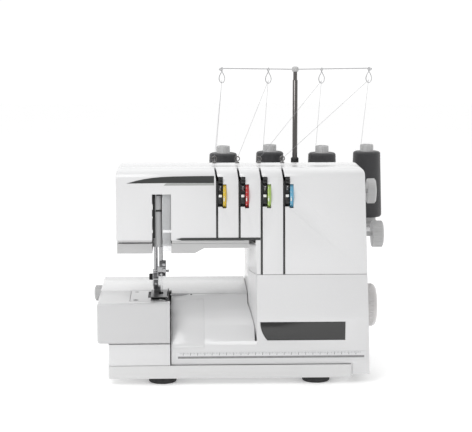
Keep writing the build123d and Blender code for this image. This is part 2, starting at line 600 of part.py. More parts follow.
# ---------------------------------------------------------------- looper cover
INSERT_X0, INSERT_X1 = 20.0, 138.5
INSERT_Z0, INSERT_Z1 = 61.4, 87.5
INSERT_T = 2.0
cover_outer = looper_body(0, LOWER_Z)
cover_inner = looper_body(WALL, LOWER_Z - 1)
with BuildPart() as looper_cover:
    add(cover_outer)
    add(cover_inner, mode=Mode.SUBTRACT)
    block((TRAY_X + GAP, BASE_RIGHT_X - 1), (COVER_Y, COVER_Y + WALL), (RIGHT_LOW_Z, LOWER_Z))
    with BuildSketch(Plane.XZ.offset(-COVER_Y - INSERT_T - GAP)):
        with BuildLine():
            lower = Line((INSERT_X0 + 10, INSERT_Z0), (INSERT_X1, INSERT_Z0))
            side = Line(lower @ 1, (INSERT_X1, INSERT_Z1))
            upper = Line(side @ 1, (INSERT_X0, INSERT_Z1))
            ThreePointArc(upper @ 1, (INSERT_X0 + 3, INSERT_Z0 + 11), lower @ 0)
        make_face()
    extrude(amount=2 * WALL, mode=Mode.SUBTRACT)
    for x in HINGE_X:
        rod((x + 7, HINGE_Y, HINGE_Z), (1, 0, 0), KNUCKLE_R, 7.0)
        block((x + 7, x + 14), (COVER_Y + WALL - 1, HINGE_Y), (HINGE_Z - KNUCKLE_R, HINGE_Z + KNUCKLE_R))
        rod((x + 6, HINGE_Y, HINGE_Z), (1, 0, 0), HINGE_R + PIN_FIT, 9.0, Mode.SUBTRACT)
    block((INSERT_X0 - 4, INSERT_X1 + 3), (COVER_Y + INSERT_T + GAP, COVER_Y + INSERT_T + GAP + 1.5),
          (INSERT_Z0 - 3, INSERT_Z1 + 3))
    block((FACET_X - 1, FACET_X + 2 * WALL), (COVER_SEAM_Y + WALL, DOOR_BACK_Y + 1), (SEAM_Z - 2 * WALL, SEAM_Z),
          Mode.SUBTRACT)
save(looper_cover, "looper_cover")

with BuildPart() as cover_insert:
    with BuildSketch(Plane.XZ.offset(-COVER_Y - INSERT_T - GAP)):
        with BuildLine():
            lower = Line((INSERT_X0 + 10.2, INSERT_Z0 + 0.2), (INSERT_X1 - 0.2, INSERT_Z0 + 0.2))
            side = Line(lower @ 1, (INSERT_X1 - 0.2, INSERT_Z1 - 0.2))
            upper = Line(side @ 1, (INSERT_X0 + 0.3, INSERT_Z1 - 0.2))
            ThreePointArc(upper @ 1, (INSERT_X0 + 3.3, INSERT_Z0 + 11), lower @ 0)
        make_face()
    extrude(amount=INSERT_T)
save(cover_insert, "cover_insert")

RULER_X0, RULER_X1, RULER_Z0, RULER_Z1, RULER_T = -97.0, 168.0, 35.0, 46.0, 0.5
with BuildPart() as ruler_strip:
    with BuildSketch(Plane.XZ.offset(-COVER_Y)):
        with Locations(((RULER_X0 + RULER_X1) / 2, (RULER_Z0 + RULER_Z1) / 2)):
            Rectangle(RULER_X1 - RULER_X0, RULER_Z1 - RULER_Z0)
    extrude(amount=RULER_T)
save(ruler_strip, "ruler_strip")

with BuildPart() as looper_panel:
    add(looper_body(-0.5, LOWER_Z))
    add(cover_outer, mode=Mode.SUBTRACT)
    block((BED_X, -57.5), (NOSE_Y, BASE_BACK_Y), (52.0, 110.0), Mode.INTERSECT)
    block((BED_X, NOSE_X + 3.5), (NOSE_Y, BASE_BACK_Y), (0, TOP_Z), Mode.SUBTRACT)
save(looper_panel, "looper_panel")

# ---------------------------------------------------------------- thread tension units and dials
UNIT_X = [slot_x + SLOT_W / 2 + 0.2 for slot_x in SLOT_X]
FRONT_Y = face_y(DIAL_Z)
DIAL_Y = FRONT_Y - DIAL_PROUD + DIAL_R
DIAL_PIN_R = 3.0
with BuildPart() as tension_units:
    for slot_x, unit_x, low_z in zip(SLOT_X, UNIT_X, SLOT_Z):
        block((unit_x, unit_x + UNIT_W), (FRONT_Y + 5.0, -90.0), (UNIT_Z0, UNIT_Z1))
        block((unit_x, unit_x + UNIT_W - 0.4), (FRONT_Y + 1.0, FRONT_Y + 5.0), (279.0, 286.5))
        rod((unit_x, FRONT_Y + 5.0, 273.5), (1, 0, 0), 4.2, UNIT_W)
        rod((unit_x, FRONT_Y + 6.0, 255.0), (1, 0, 0), 6.5, UNIT_W)
        block((slot_x - SLOT_W / 2 + 0.2, unit_x + 1), (-92.0, -90.0), (low_z + 4, UNIT_Z1))
        block((unit_x, unit_x + 13.5), (-91.0, SPLIT_Y - 4), (UNIT_Z1 - 4, UNIT_Z1 - 1))
        block((unit_x + 12.0, unit_x + 13.5), (DIAL_Y - 8, SPLIT_Y - 4), (DIAL_Z - 8, UNIT_Z1 - 1))
        rod((unit_x + UNIT_W - 1.0, DIAL_Y, DIAL_Z), (1, 0, 0), DIAL_PIN_R, 8.0)
save(tension_units, "tension_units")

for number, unit_x in enumerate(UNIT_X, 1):
    dial_x = unit_x + UNIT_W + 0.6
    with BuildPart() as tension_dial:
        rod((dial_x, DIAL_Y, DIAL_Z), (1, 0, 0), DIAL_R, DIAL_T)
        chamfer(tension_dial.edges().filter_by(GeomType.CIRCLE), 0.5)
        knurl((dial_x, DIAL_Y, DIAL_Z), (1, 0, 0), DIAL_R, DIAL_T, 48, 0.5)
        rod((dial_x - 1, DIAL_Y, DIAL_Z), (1, 0, 0), DIAL_PIN_R + PIN_FIT, DIAL_T + 2, Mode.SUBTRACT)
    save(tension_dial, f"tension_dial_{number}")

# ---------------------------------------------------------------- needle and presser bars
with BuildPart() as needle_bar:
    rod((NEEDLE_X, NEEDLE_Y, 152.0), (0, 0, 1), BAR_R, 138.0)
    block((NEEDLE_X - 5, NEEDLE_X + 7), (NEEDLE_Y - 5, NEEDLE_Y + 4.5), (143.0, 156.0))
    rod((NEEDLE_X + 4.5, NEEDLE_Y - 5, 152.0), (0, -1, 0), 2.6, 5.0)
    rod((NEEDLE_X + 0.5, NEEDLE_Y - 5, 146.5), (0, -1, 0), 1.6, 4.5)
    rod((NEEDLE_X + 7, NEEDLE_Y, 150.0), (1, 0, 0), 1.6, 4.0)
save(needle_bar, "needle_bar")

with BuildPart() as needles:
    for side in (-1, 1):
        with Locations((NEEDLE_X + side * NEEDLE_PITCH / 2, NEEDLE_Y, 131.0)):
            Cylinder(NEEDLE_R, 18.0)
        with Locations((NEEDLE_X + side * NEEDLE_PITCH / 2, NEEDLE_Y, 141.5)):
            Cylinder(1.0, 3.0)
        with Locations((NEEDLE_X + side * NEEDLE_PITCH / 2, NEEDLE_Y, 120.75)):
            Cone(0.12, NEEDLE_R, 2.5)
save(needles, "needles")

SOLE_X0, SOLE_X1, SOLE_Y0, SOLE_Y1 = -131.5, -109.0, -101.0, -46.0
SOLE_Z0, SOLE_Z1 = BED_Z + 0.4, BED_Z + 3.0
with BuildPart() as presser_bar:
    rod((PRESSER_X, PRESSER_Y, 146.0), (0, 0, 1), BAR_R, 144.0)
    block((PRESSER_X - 4.5, PRESSER_X + 3.5), (PRESSER_Y - 4.5, PRESSER_Y + 4.5), (127.0, 147.0))
    rod((PRESSER_X - 4.5, PRESSER_Y, 140.0), (-1, 0, 0), 3.2, 4.0)
    block((PRESSER_X - 4, PRESSER_X + 4), (PRESSER_Y + BAR_R - 1, -47.0), (228.0, 234.0))
save(presser_bar, "presser_bar")

with BuildPart() as presser_foot:
    with BuildSketch(Plane.XY.offset(SOLE_Z0)):
        with Locations(((SOLE_X0 + SOLE_X1) / 2, (SOLE_Y0 + SOLE_Y1) / 2)):
            Rectangle(SOLE_X1 - SOLE_X0, SOLE_Y1 - SOLE_Y0)
    extrude(amount=SOLE_Z1 - SOLE_Z0)
    block((SOLE_X0 + 4, SOLE_X1 - 9), (PRESSER_Y - 4.5, PRESSER_Y + 7), (SOLE_Z1, 126.5))
    with BuildSketch(Plane.XY.offset(SOLE_Z0 - 1)):
        with Locations((NEEDLE_X, NEEDLE_Y - 4)):
            SlotOverall(18.0, 6.0, rotation=90)
    extrude(amount=SOLE_Z1 - SOLE_Z0 + 2, mode=Mode.SUBTRACT)
    with BuildSketch(Plane.YZ.offset(SOLE_X0 - 1)):
        with BuildLine():
            Polyline((SOLE_Y0 - 1, SOLE_Z0 - 1), (SOLE_Y0 - 1, SOLE_Z1 - 0.6), (SOLE_Y0 + 11, SOLE_Z0 - 0.01),
                     (SOLE_Y0 + 11, SOLE_Z0 - 1), close=True)
        make_face()
    extrude(amount=SOLE_X1 - SOLE_X0 + 2, mode=Mode.SUBTRACT)
save(presser_foot, "presser_foot")

with BuildPart() as presser_lifter:
    rod((-131.0, LIFTER_Y, LIFTER_Z), (1, 0, 0), 5.0, 12.0)
    block((-129.0, -121.0), (LIFTER_Y, 26.0), (LIFTER_Z - 7.0, LIFTER_Z - 3.0))
    fillet(presser_lifter.edges().filter_by(Axis.X).group_by(Axis.Y)[-1], 1.5)
    rod((-132.0, LIFTER_Y, LIFTER_Z), (1, 0, 0), LIFTER_PIN_R + PIN_FIT, 14.0, Mode.SUBTRACT)
save(presser_lifter, "presser_lifter")

with BuildPart() as bar_cover:
    rod((-121.5, -95.0, 189.5), (0, 0, 1), 6.6, 74.0)
    rod((-121.5, -95.0, 189.0), (0, 0, 1), 4.9, 73.0, Mode.SUBTRACT)
save(bar_cover, "bar_cover")

with BuildPart() as needle_shield:
    block((-114.5, WINDOW_X1 - GAP), (-104.0, -102.2), (184.0, WINDOW_TOP_Z - GAP))
save(needle_shield, "needle_shield")

# ---------------------------------------------------------------- loopers, knives and feed dogs
with BuildPart() as lower_looper:
    rod((LOWER_PIVOT[0], -62.0, LOWER_PIVOT[1]), (0, -1, 0), 6.5, 4.5)
    with BuildSketch(Plane.XZ.offset(62.5)):
        with BuildLine():
            stem = Line((LOWER_PIVOT[0] - 3, LOWER_PIVOT[1] + 2), (-94.0, 86.0))
            tip = ThreePointArc(stem @ 1, (-101.0, 98.5), (-119.0, 105.0))
            Line(tip @ 1, (-118.0, 102.8))
            back = ThreePointArc((-118.0, 102.8), (-105.0, 95.0), (-99.0, 84.0))
            Line(back @ 1, (LOWER_PIVOT[0] - 5.5, LOWER_PIVOT[1] - 1))
            Line((LOWER_PIVOT[0] - 5.5, LOWER_PIVOT[1] - 1), stem @ 0)
        make_face()
    extrude(amount=2.4)
    rod((LOWER_PIVOT[0], -51.0, LOWER_PIVOT[1]), (0, -1, 0), PIVOT_R + PIN_FIT, 30.0, Mode.SUBTRACT)
save(lower_looper, "lower_looper")

with BuildPart() as upper_looper:
    rod((UPPER_PIVOT[0], -69.0, UPPER_PIVOT[1]), (0, -1, 0), 6.0, 4.5)
    with BuildSketch(Plane.XZ.offset(70.0)):
        with BuildLine():
            stem = Line((UPPER_PIVOT[0] - 2, UPPER_PIVOT[1] + 3), (-100.0, 82.0))
            tip = ThreePointArc(stem @ 1, (-106.5, 88.0), (-112.5, 106.0))
            Line(tip @ 1, (-114.0, 105.0))
            back = ThreePointArc((-114.0, 105.0), (-110.5, 86.0), (-101.0, 77.5))
            Line(back @ 1, (UPPER_PIVOT[0] - 4, UPPER_PIVOT[1] - 3))
            Line((UPPER_PIVOT[0] - 4, UPPER_PIVOT[1] - 3), stem @ 0)
        make_face()
    extrude(amount=2.4)
    rod((UPPER_PIVOT[0], -51.0, UPPER_PIVOT[1]), (0, -1, 0), PIVOT_R + PIN_FIT, 30.0, Mode.SUBTRACT)
save(upper_looper, "upper_looper")

with BuildPart() as upper_knife:
    block((KNIFE_X, KNIFE_X + KNIFE_T), (-84.0, -76.0), (84.0, 127.0))
    block((KNIFE_X, KNIFE_X + KNIFE_T), (-92.0, -84.5 + 1), (117.0, 121.0))
save(upper_knife, "upper_knife")

with BuildPart() as lower_knife:
    block((PLATE_X1 + 0.3, KNIFE_X - 0.3), (-90.0, -78.0), (92.0, BED_Z - 0.2))
save(lower_knife, "lower_knife")

with BuildPart() as feed_dogs:
    for x in (-133.0, -124.5):
        block((x - 1.9, x + 1.9), (-88.0, -48.5), (106.0, BED_Z - 1.2))
        with Locations(*[(x, y, BED_Z - 1.2) for y in range(-86, -50, 3)]):
            Cylinder(0.7, 3.8, rotation=(0, 90, 0))
    block((-135.0, -122.6), (-56.0, -48.5), (100.0, 106.0))
save(feed_dogs, "feed_dogs")

# ---------------------------------------------------------------- shafts, motor and handwheel
WHEEL_X = BASE_RIGHT_X + 1.0
with BuildPart() as main_shaft:
    rod((-106.0, SHAFT_Y, SHAFT_Z), (1, 0, 0), SHAFT_R, WHEEL_X + 8 + 106.0)
    rod((-88.0, SHAFT_Y, SHAFT_Z + 3.0), (1, 0, 0), 9.0, 6.0)
    rod((-20.0, SHAFT_Y - 3.0, SHAFT_Z), (1, 0, 0), 9.0, 6.0)
    rod((BELT_X, SHAFT_Y, SHAFT_Z), (1, 0, 0), MAIN_PULLEY_R, BELT_W)
    rod((BELT_X - 1.5, SHAFT_Y, SHAFT_Z), (1, 0, 0), MAIN_PULLEY_R + 2, 1.5)
    rod((BELT_X + BELT_W, SHAFT_Y, SHAFT_Z), (1, 0, 0), MAIN_PULLEY_R + 2, 1.5)
save(main_shaft, "main_shaft")

with BuildPart() as handwheel:
    rod((WHEEL_X, SHAFT_Y, SHAFT_Z), (1, 0, 0), WHEEL_R, WHEEL_T)
    fillet(handwheel.edges().filter_by(GeomType.CIRCLE).group_by(Axis.X)[-1], 8.0)
    fillet(handwheel.edges().filter_by(GeomType.CIRCLE).group_by(Axis.X)[0], 1.5)
    rod((WHEEL_X - 1, SHAFT_Y, SHAFT_Z), (1, 0, 0), SHAFT_R, 9.0, Mode.SUBTRACT)
save(handwheel, "handwheel")

with BuildPart() as motor:
    rod((BELT_X - 8 - MOTOR_L, MOTOR_Y, MOTOR_Z), (1, 0, 0), MOTOR_R, MOTOR_L)
    fillet(motor.edges().filter_by(GeomType.CIRCLE), 3.0)
    block((BELT_X - 8 - MOTOR_L + 8, BELT_X - 16), (MOTOR_Y - 14, MOTOR_Y + 14), (34.0, MOTOR_Z - 20))
    rod((BELT_X - 20 - MOTOR_L, MOTOR_Y, MOTOR_Z), (1, 0, 0), 2.5 + PIN_FIT, MOTOR_L + 30, Mode.SUBTRACT)
save(motor, "motor")

with BuildPart() as motor_shaft:
    rod((BELT_X - 8 - MOTOR_L - 4, MOTOR_Y, MOTOR_Z), (1, 0, 0), 2.5, MOTOR_L + 20)
    rod((BELT_X - 1.5, MOTOR_Y, MOTOR_Z), (1, 0, 0), MOTOR_PULLEY_R + 1.5, 1.5)
    rod((BELT_X, MOTOR_Y, MOTOR_Z), (1, 0, 0), MOTOR_PULLEY_R, BELT_W)
    rod((BELT_X + BELT_W, MOTOR_Y, MOTOR_Z), (1, 0, 0), MOTOR_PULLEY_R + 1.5, 1.5)
save(motor_shaft, "motor_shaft")

# ---------------------------------------------------------------- side dials, switch and inlet
with BuildPart() as width_dial:
    dial_low_x = right_x(WIDTH_DIAL_Z - WIDTH_DIAL_R) + 0.6
    rod((dial_low_x, SIDE_DIAL_Y, WIDTH_DIAL_Z), (1, 0, 0), WIDTH_DIAL_R, 22.5)
    fillet(width_dial.edges().filter_by(GeomType.CIRCLE).group_by(Axis.X)[-1], 4.0)
    knurl((dial_low_x + 3, SIDE_DIAL_Y, WIDTH_DIAL_Z), (1, 0, 0), WIDTH_DIAL_R + 0.4, 15.0, 32, 0.9)
    rod((dial_low_x - 12, SIDE_DIAL_Y, WIDTH_DIAL_Z), (1, 0, 0), SHAFT_R, 14.0)
save(width_dial, "width_dial")

with BuildPart() as feed_dial:
    dial_low_x = right_x(FEED_DIAL_Z - FEED_DIAL_R) + 0.6
    rod((dial_low_x, SIDE_DIAL_Y, FEED_DIAL_Z), (1, 0, 0), FEED_DIAL_R, 23.0)
    fillet(feed_dial.edges().filter_by(GeomType.CIRCLE).group_by(Axis.X)[-1], 2.5)
    knurl((dial_low_x + 3, SIDE_DIAL_Y, FEED_DIAL_Z), (1, 0, 0), FEED_DIAL_R + 0.4, 17.0, 36, 0.9)
    block((dial_low_x + 10, dial_low_x + 32), (SIDE_DIAL_Y - 17, SIDE_DIAL_Y + 17),
          (FEED_DIAL_Z - 5, FEED_DIAL_Z + 14))
    rod((dial_low_x - 12, SIDE_DIAL_Y, FEED_DIAL_Z), (1, 0, 0), SHAFT_R, 14.0)
save(feed_dial, "feed_dial")

with BuildPart() as cut_dial:
    rod((BED_X - GAP, CUT_DIAL_Y, CUT_DIAL_Z), (-1, 0, 0), CUT_DIAL_R, END_X + BED_X - GAP)
    fillet(cut_dial.edges().filter_by(GeomType.CIRCLE).group_by(Axis.X)[0], 2.5)
    knurl((BED_X - 2, CUT_DIAL_Y, CUT_DIAL_Z), (-1, 0, 0), CUT_DIAL_R + 0.2, 8.0, 24, 0.7)
    rod((BED_X - 1, CUT_DIAL_Y, CUT_DIAL_Z), (1, 0, 0), 2.8, 26.0)
save(cut_dial, "cut_dial")

INLET_X = right_x(0) - 5.0
SWITCH_Y, SWITCH_Z, SWITCH_PIN_R = 55.5, 48.0, 1.5
with BuildPart() as power_inlet:
    block((INLET_X - 8, INLET_X + 2.5), (24.0 + GAP, 66.0 - GAP), (36.0 + GAP, 60.0 - GAP))
    block((INLET_X - 6, INLET_X + 3), (28.0, 45.0), (39.0, 57.0), Mode.SUBTRACT)
    block((INLET_X - 9, INLET_X + 3), (49.0, 62.0), (38.5, 57.5), Mode.SUBTRACT)
    for y in (32.5, 40.5):
        rod((INLET_X - 7, y, 48.0), (1, 0, 0), 1.2, 8.0)
    rod((INLET_X - 2, SWITCH_Y - 7.5, SWITCH_Z), (0, 1, 0), SWITCH_PIN_R + PIN_FIT, 15.0, Mode.SUBTRACT)
save(power_inlet, "power_inlet")

with BuildPart() as power_switch:
    with BuildSketch(Plane.XZ.offset(-SWITCH_Y - 6)):
        with BuildLine():
            Polyline(
                (INLET_X - 7, SWITCH_Z - 6),
                (INLET_X + 3.6, SWITCH_Z - 8.2),
                (INLET_X + 2.2, SWITCH_Z),
                (INLET_X + 3.6, SWITCH_Z + 8.2),
                (INLET_X - 7, SWITCH_Z + 6),
                close=True,
            )
        make_face()
    extrude(amount=12.0)
    rod((INLET_X - 2, SWITCH_Y - 6.8, SWITCH_Z), (0, 1, 0), SWITCH_PIN_R, 13.6)
save(power_switch, "power_switch")

with BuildPart() as drive_belt:
    with BuildSketch(Plane.YZ.offset(BELT_X + 0.5)) as loop:
        with Locations((SHAFT_Y, SHAFT_Z)):
            Circle(MAIN_PULLEY_R + 2.2)
        with Locations((MOTOR_Y, MOTOR_Z)):
            Circle(MOTOR_PULLEY_R + 2.2)
        make_hull()
    extrude(amount=BELT_W - 1)
    with BuildSketch(Plane.YZ.offset(BELT_X)):
        with Locations((SHAFT_Y, SHAFT_Z)):
            Circle(MAIN_PULLEY_R + 0.3)
        with Locations((MOTOR_Y, MOTOR_Z)):
            Circle(MOTOR_PULLEY_R + 0.3)
        make_hull()
    extrude(amount=BELT_W, mode=Mode.SUBTRACT)
save(drive_belt, "drive_belt")

# ---------------------------------------------------------------- thread stand
with BuildPart() as spool_stand:
    with BuildSketch(Plane.XY.offset(STAND_Z)):
        with Locations(((STAND_X0 + STAND_X1) / 2, (STAND_Y0 + STAND_Y1) / 2)):
            RectangleRounded(STAND_X1 - STAND_X0, STAND_Y1 - STAND_Y0, 18.0)
    extrude(amount=STAND_T)
    fillet(spool_stand.edges().group_by(Axis.Z)[-1], 2.0)
    block((POLE_X - 26, POLE_X + 26), (COLUMN_BACK_Y + GAP, STAND_Y + 12), (STAND_Z - 62, STAND_Z + 1))
    fillet(spool_stand.edges().filter_by(Axis.Z).filter_by_position(Axis.Z, 100, STAND_Z).group_by(Axis.Y)[-1], 8.0)
    for x, y in zip(SPOOL_X, SPOOL_Y):
        rod((x, y, STAND_Z - 1), (0, 0, 1), PIN_R + PIN_FIT, STAND_T + 2, Mode.SUBTRACT)
    rod((POLE_X, STAND_Y, STAND_Z - 90), (0, 0, 1), TUBE_R, 100.0, Mode.SUBTRACT)
save(spool_stand, "spool_stand")

with BuildPart() as spool_holders:
    for x, y in zip(SPOOL_X, SPOOL_Y):
        with BuildSketch(Plane.XZ.offset(-y)):
            with BuildLine():
                Polyline(
                    (x, STAND_Z + 0.5),
                    (x + PIN_R, STAND_Z + 0.5),
                    (x + PIN_R, STAND_Z + STAND_T),
                    (x + 22.0, STAND_Z + STAND_T),
                    (x + 22.0, STAND_Z + STAND_T + 2.5),
                    (x + HOLDER_R, HOLDER_Z - 6),
                    (x + HOLDER_R, HOLDER_Z - 0.2),
                    (x + PIN_R, HOLDER_Z - 0.2),
                    (x + PIN_R, HOLDER_Z + 78),
                    (x + PIN_R - 1, HOLDER_Z + 80),
                    (x, HOLDER_Z + 80),
                    close=True,
                )
            make_face()
        revolve(axis=Axis((x, y, 0), (0, 0, 1)))
save(spool_holders, "spool_holders")

for number, (x, y) in enumerate(zip(SPOOL_X, SPOOL_Y), 1):
    with BuildPart() as thread_cone:
        with BuildSketch(Plane.XZ.offset(-y)):
            with BuildLine():
                Polyline(
                    (x + CORE_R - CORE_WALL, HOLDER_Z + 0.2),
                    (x + CONE_LOW_R, HOLDER_Z + 0.2),
                    (x + CONE_LOW_R, HOLDER_Z + 8),
                    (x + CONE_HIGH_R, CONE_Z - 5),
                    (x + CONE_HIGH_R - 2, CONE_Z),
                    (x + CORE_R, CONE_Z),
                    (x + CORE_R, CORE_Z),
                    (x + CORE_R - CORE_WALL, CORE_Z),
                    close=True,
                )
            make_face()
        revolve(axis=Axis((x, y, 0), (0, 0, 1)))
    save(thread_cone, f"thread_cone_{number}")

with BuildPart() as stand_tube:
    rod((POLE_X, STAND_Y, STAND_Z - 84), (0, 0, 1), TUBE_R - 0.02, TUBE_Z - STAND_Z + 84)
    rod((POLE_X, STAND_Y, STAND_Z - 85), (0, 0, 1), POLE_R + PIN_FIT, TUBE_Z - STAND_Z + 90, Mode.SUBTRACT)
save(stand_tube, "stand_tube")

HALF_BAR = 116.0
with BuildPart() as thread_pole:
    rod((POLE_X, STAND_Y, TUBE_Z - 60), (0, 0, 1), POLE_R, POLE_Z - TUBE_Z + 60)
    rod((POLE_X, STAND_Y, POLE_Z), (0, 0, 1), NECK_R, GUIDE_BAR_Z - POLE_Z)
    rod((POLE_X, STAND_Y, GUIDE_BAR_Z - 3.5), (0, 0, 1), 4.6, 7.0)
    for side in (-1, 1):
        reach = Vector(side * HALF_BAR, -SWEEP_Y, 2.0)
        rod((POLE_X, STAND_Y, GUIDE_BAR_Z), reach, WIRE_R, reach.length)
        with Locations((POLE_X + reach.X, STAND_Y + reach.Y, GUIDE_BAR_Z + reach.Z)):
            Sphere(1.6)
    for x in GUIDE_X:
        share = abs(x - POLE_X) / HALF_BAR
        eye_y, eye_z = STAND_Y - SWEEP_Y * share, GUIDE_BAR_Z + 2.0 * share
        rod((x, eye_y, eye_z), (0, 0, -1), 0.8, EYE_DROP - 9.0)
        with Locations(Plane(origin=(x, eye_y, eye_z - EYE_DROP + 4.8), z_dir=(0, 1, 0))):
            Torus(4.2, 0.7)
save(thread_pole, "thread_pole")

with BuildPart() as top_guides:
    for x in TOP_GUIDE_X:
        rod((x, TOP_GUIDE_Y - 10, TOP_Z + 0.05), (0, 0, 1), 2.8, 1.6)
        rod((x, TOP_GUIDE_Y - 10, TOP_Z + 1), (0, 0, 1), 0.9, 2.2)
        with Locations(Plane(origin=(x, TOP_GUIDE_Y - 10, TOP_Z + 6.0), z_dir=(0, 1, 0))):
            Torus(3.2, 0.7)
save(top_guides, "top_guides")

for number, (x, y, eye_x, guide_x, slot_x) in enumerate(
    zip(SPOOL_X, SPOOL_Y, GUIDE_X, TOP_GUIDE_X, SLOT_X), 1
):
    share = abs(eye_x - POLE_X) / HALF_BAR
    eye_y = STAND_Y - SWEEP_Y * share
    eye_z = GUIDE_BAR_Z + 2.0 * share - EYE_DROP + 4.8
    route = [
        (x - 11.0, y - 10.0, CONE_Z + 0.15),
        (eye_x, eye_y + 1.8, eye_z),
        (eye_x, eye_y - 1.8, eye_z),
        (guide_x, TOP_GUIDE_Y - 10, TOP_Z + 6.0),
        (slot_x - SLOT_BEND, -96.5, TOP_Z + 0.8),
        (slot_x - SLOT_BEND / 3, -99.0, UNIT_Z1 + 2.0),
    ]
    with BuildPart() as thread:
        with BuildLine() as path:
            FilletPolyline(*route, radius=[1.2, 1.2, 3.0, 2.0])
        with BuildSketch(Plane(origin=path.line @ 0, z_dir=path.line % 0)):
            Circle(THREAD_R)
        sweep(path=path.line)
    save(thread, f"thread_{number}")
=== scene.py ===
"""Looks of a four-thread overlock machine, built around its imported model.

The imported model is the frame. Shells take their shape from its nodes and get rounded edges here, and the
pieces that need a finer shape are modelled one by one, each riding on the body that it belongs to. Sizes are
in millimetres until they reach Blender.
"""

from __future__ import annotations

import logging
import math
from dataclasses import dataclass, field
from enum import Enum

import bpy
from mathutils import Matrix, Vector

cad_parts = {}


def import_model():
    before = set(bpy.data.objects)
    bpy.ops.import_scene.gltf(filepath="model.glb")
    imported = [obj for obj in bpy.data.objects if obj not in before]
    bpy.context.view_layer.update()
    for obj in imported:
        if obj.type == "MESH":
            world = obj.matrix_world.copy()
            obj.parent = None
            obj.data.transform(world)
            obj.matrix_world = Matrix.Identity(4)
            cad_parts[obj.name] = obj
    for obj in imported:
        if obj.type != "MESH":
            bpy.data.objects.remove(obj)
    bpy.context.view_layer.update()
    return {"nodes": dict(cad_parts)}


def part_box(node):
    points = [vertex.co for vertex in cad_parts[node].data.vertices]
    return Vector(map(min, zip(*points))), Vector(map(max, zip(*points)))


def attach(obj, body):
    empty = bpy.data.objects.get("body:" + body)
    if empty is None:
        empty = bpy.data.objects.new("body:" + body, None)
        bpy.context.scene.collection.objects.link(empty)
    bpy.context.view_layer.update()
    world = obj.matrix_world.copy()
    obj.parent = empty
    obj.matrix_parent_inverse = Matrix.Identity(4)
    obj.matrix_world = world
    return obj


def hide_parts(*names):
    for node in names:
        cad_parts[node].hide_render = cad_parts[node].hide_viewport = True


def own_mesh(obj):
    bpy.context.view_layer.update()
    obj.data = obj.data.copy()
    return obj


log = logging.getLogger("overlock")
MM = 0.001
TURN = 2 * math.pi
Triple = tuple[float, float, float]


def at(x: float, y: float, z: float) -> Vector:
    """A point given in millimetres."""
    return Vector((x, y, z)) * MM


class Axis(Enum):
    """Direction of a turned piece, with the direction that its radius starts in."""

    X = ((1.0, 0.0, 0.0), (0.0, 0.0, 1.0))
    LEFT = ((-1.0, 0.0, 0.0), (0.0, 0.0, 1.0))
    FRONT = ((0.0, -1.0, 0.0), (0.0, 0.0, 1.0))
    Z = ((0.0, 0.0, 1.0), (1.0, 0.0, 0.0))

    @property
    def along(self) -> Vector:
        """Direction of the axis."""
        return Vector(self.value[0])

    @property
    def out(self) -> Vector:
        """Direction of the radius that is drawn."""
        return Vector(self.value[1])


# ---------------------------------------------------------------- shader maths
class Value:
    """A number socket that can be used in a Python expression."""

    def __init__(self, graph: Graph, socket: bpy.types.NodeSocket) -> None:
        """Wrap a socket of a node graph."""
        self.graph = graph
        self.socket = socket

    def maths(self, operation: str, *inputs: object) -> Value:
        """Add one Math node.

        Args:
            operation: The Math node's operation.
            inputs: Numbers or values for its sockets.

        Returns:
            The node's result.
        """
        made = self.graph.node("ShaderNodeMath", {"operation": operation}, dict(enumerate(inputs)))
        return Value(self.graph, made.outputs[0])

    def __add__(self, other: object) -> Value:
        """Sum."""
        return self.maths("ADD", self, other)

    __radd__ = __add__

    def __sub__(self, other: object) -> Value:
        """Difference."""
        return self.maths("SUBTRACT", self, other)

    def __rsub__(self, other: object) -> Value:
        """Difference from a number."""
        return self.maths("SUBTRACT", other, self)

    def __mul__(self, other: object) -> Value:
        """Product."""
        return self.maths("MULTIPLY", self, other)

    __rmul__ = __mul__

    def __truediv__(self, other: object) -> Value:
        """Quotient."""
        return self.maths("DIVIDE", self, other)

    def __gt__(self, other: object) -> Value:
        """One where larger."""
        return self.maths("GREATER_THAN", self, other)

    def __lt__(self, other: object) -> Value:
        """One where smaller."""
        return self.maths("LESS_THAN", self, other)

    def sine(self) -> Value:
        """Sine of the value."""
        return self.maths("SINE", self)

    def fraction(self) -> Value:
        """Part after the decimal point."""
        return self.maths("FRACT", self)

    def largest(self, other: object) -> Value:
        """The larger of two."""
        return self.maths("MAXIMUM", self, other)


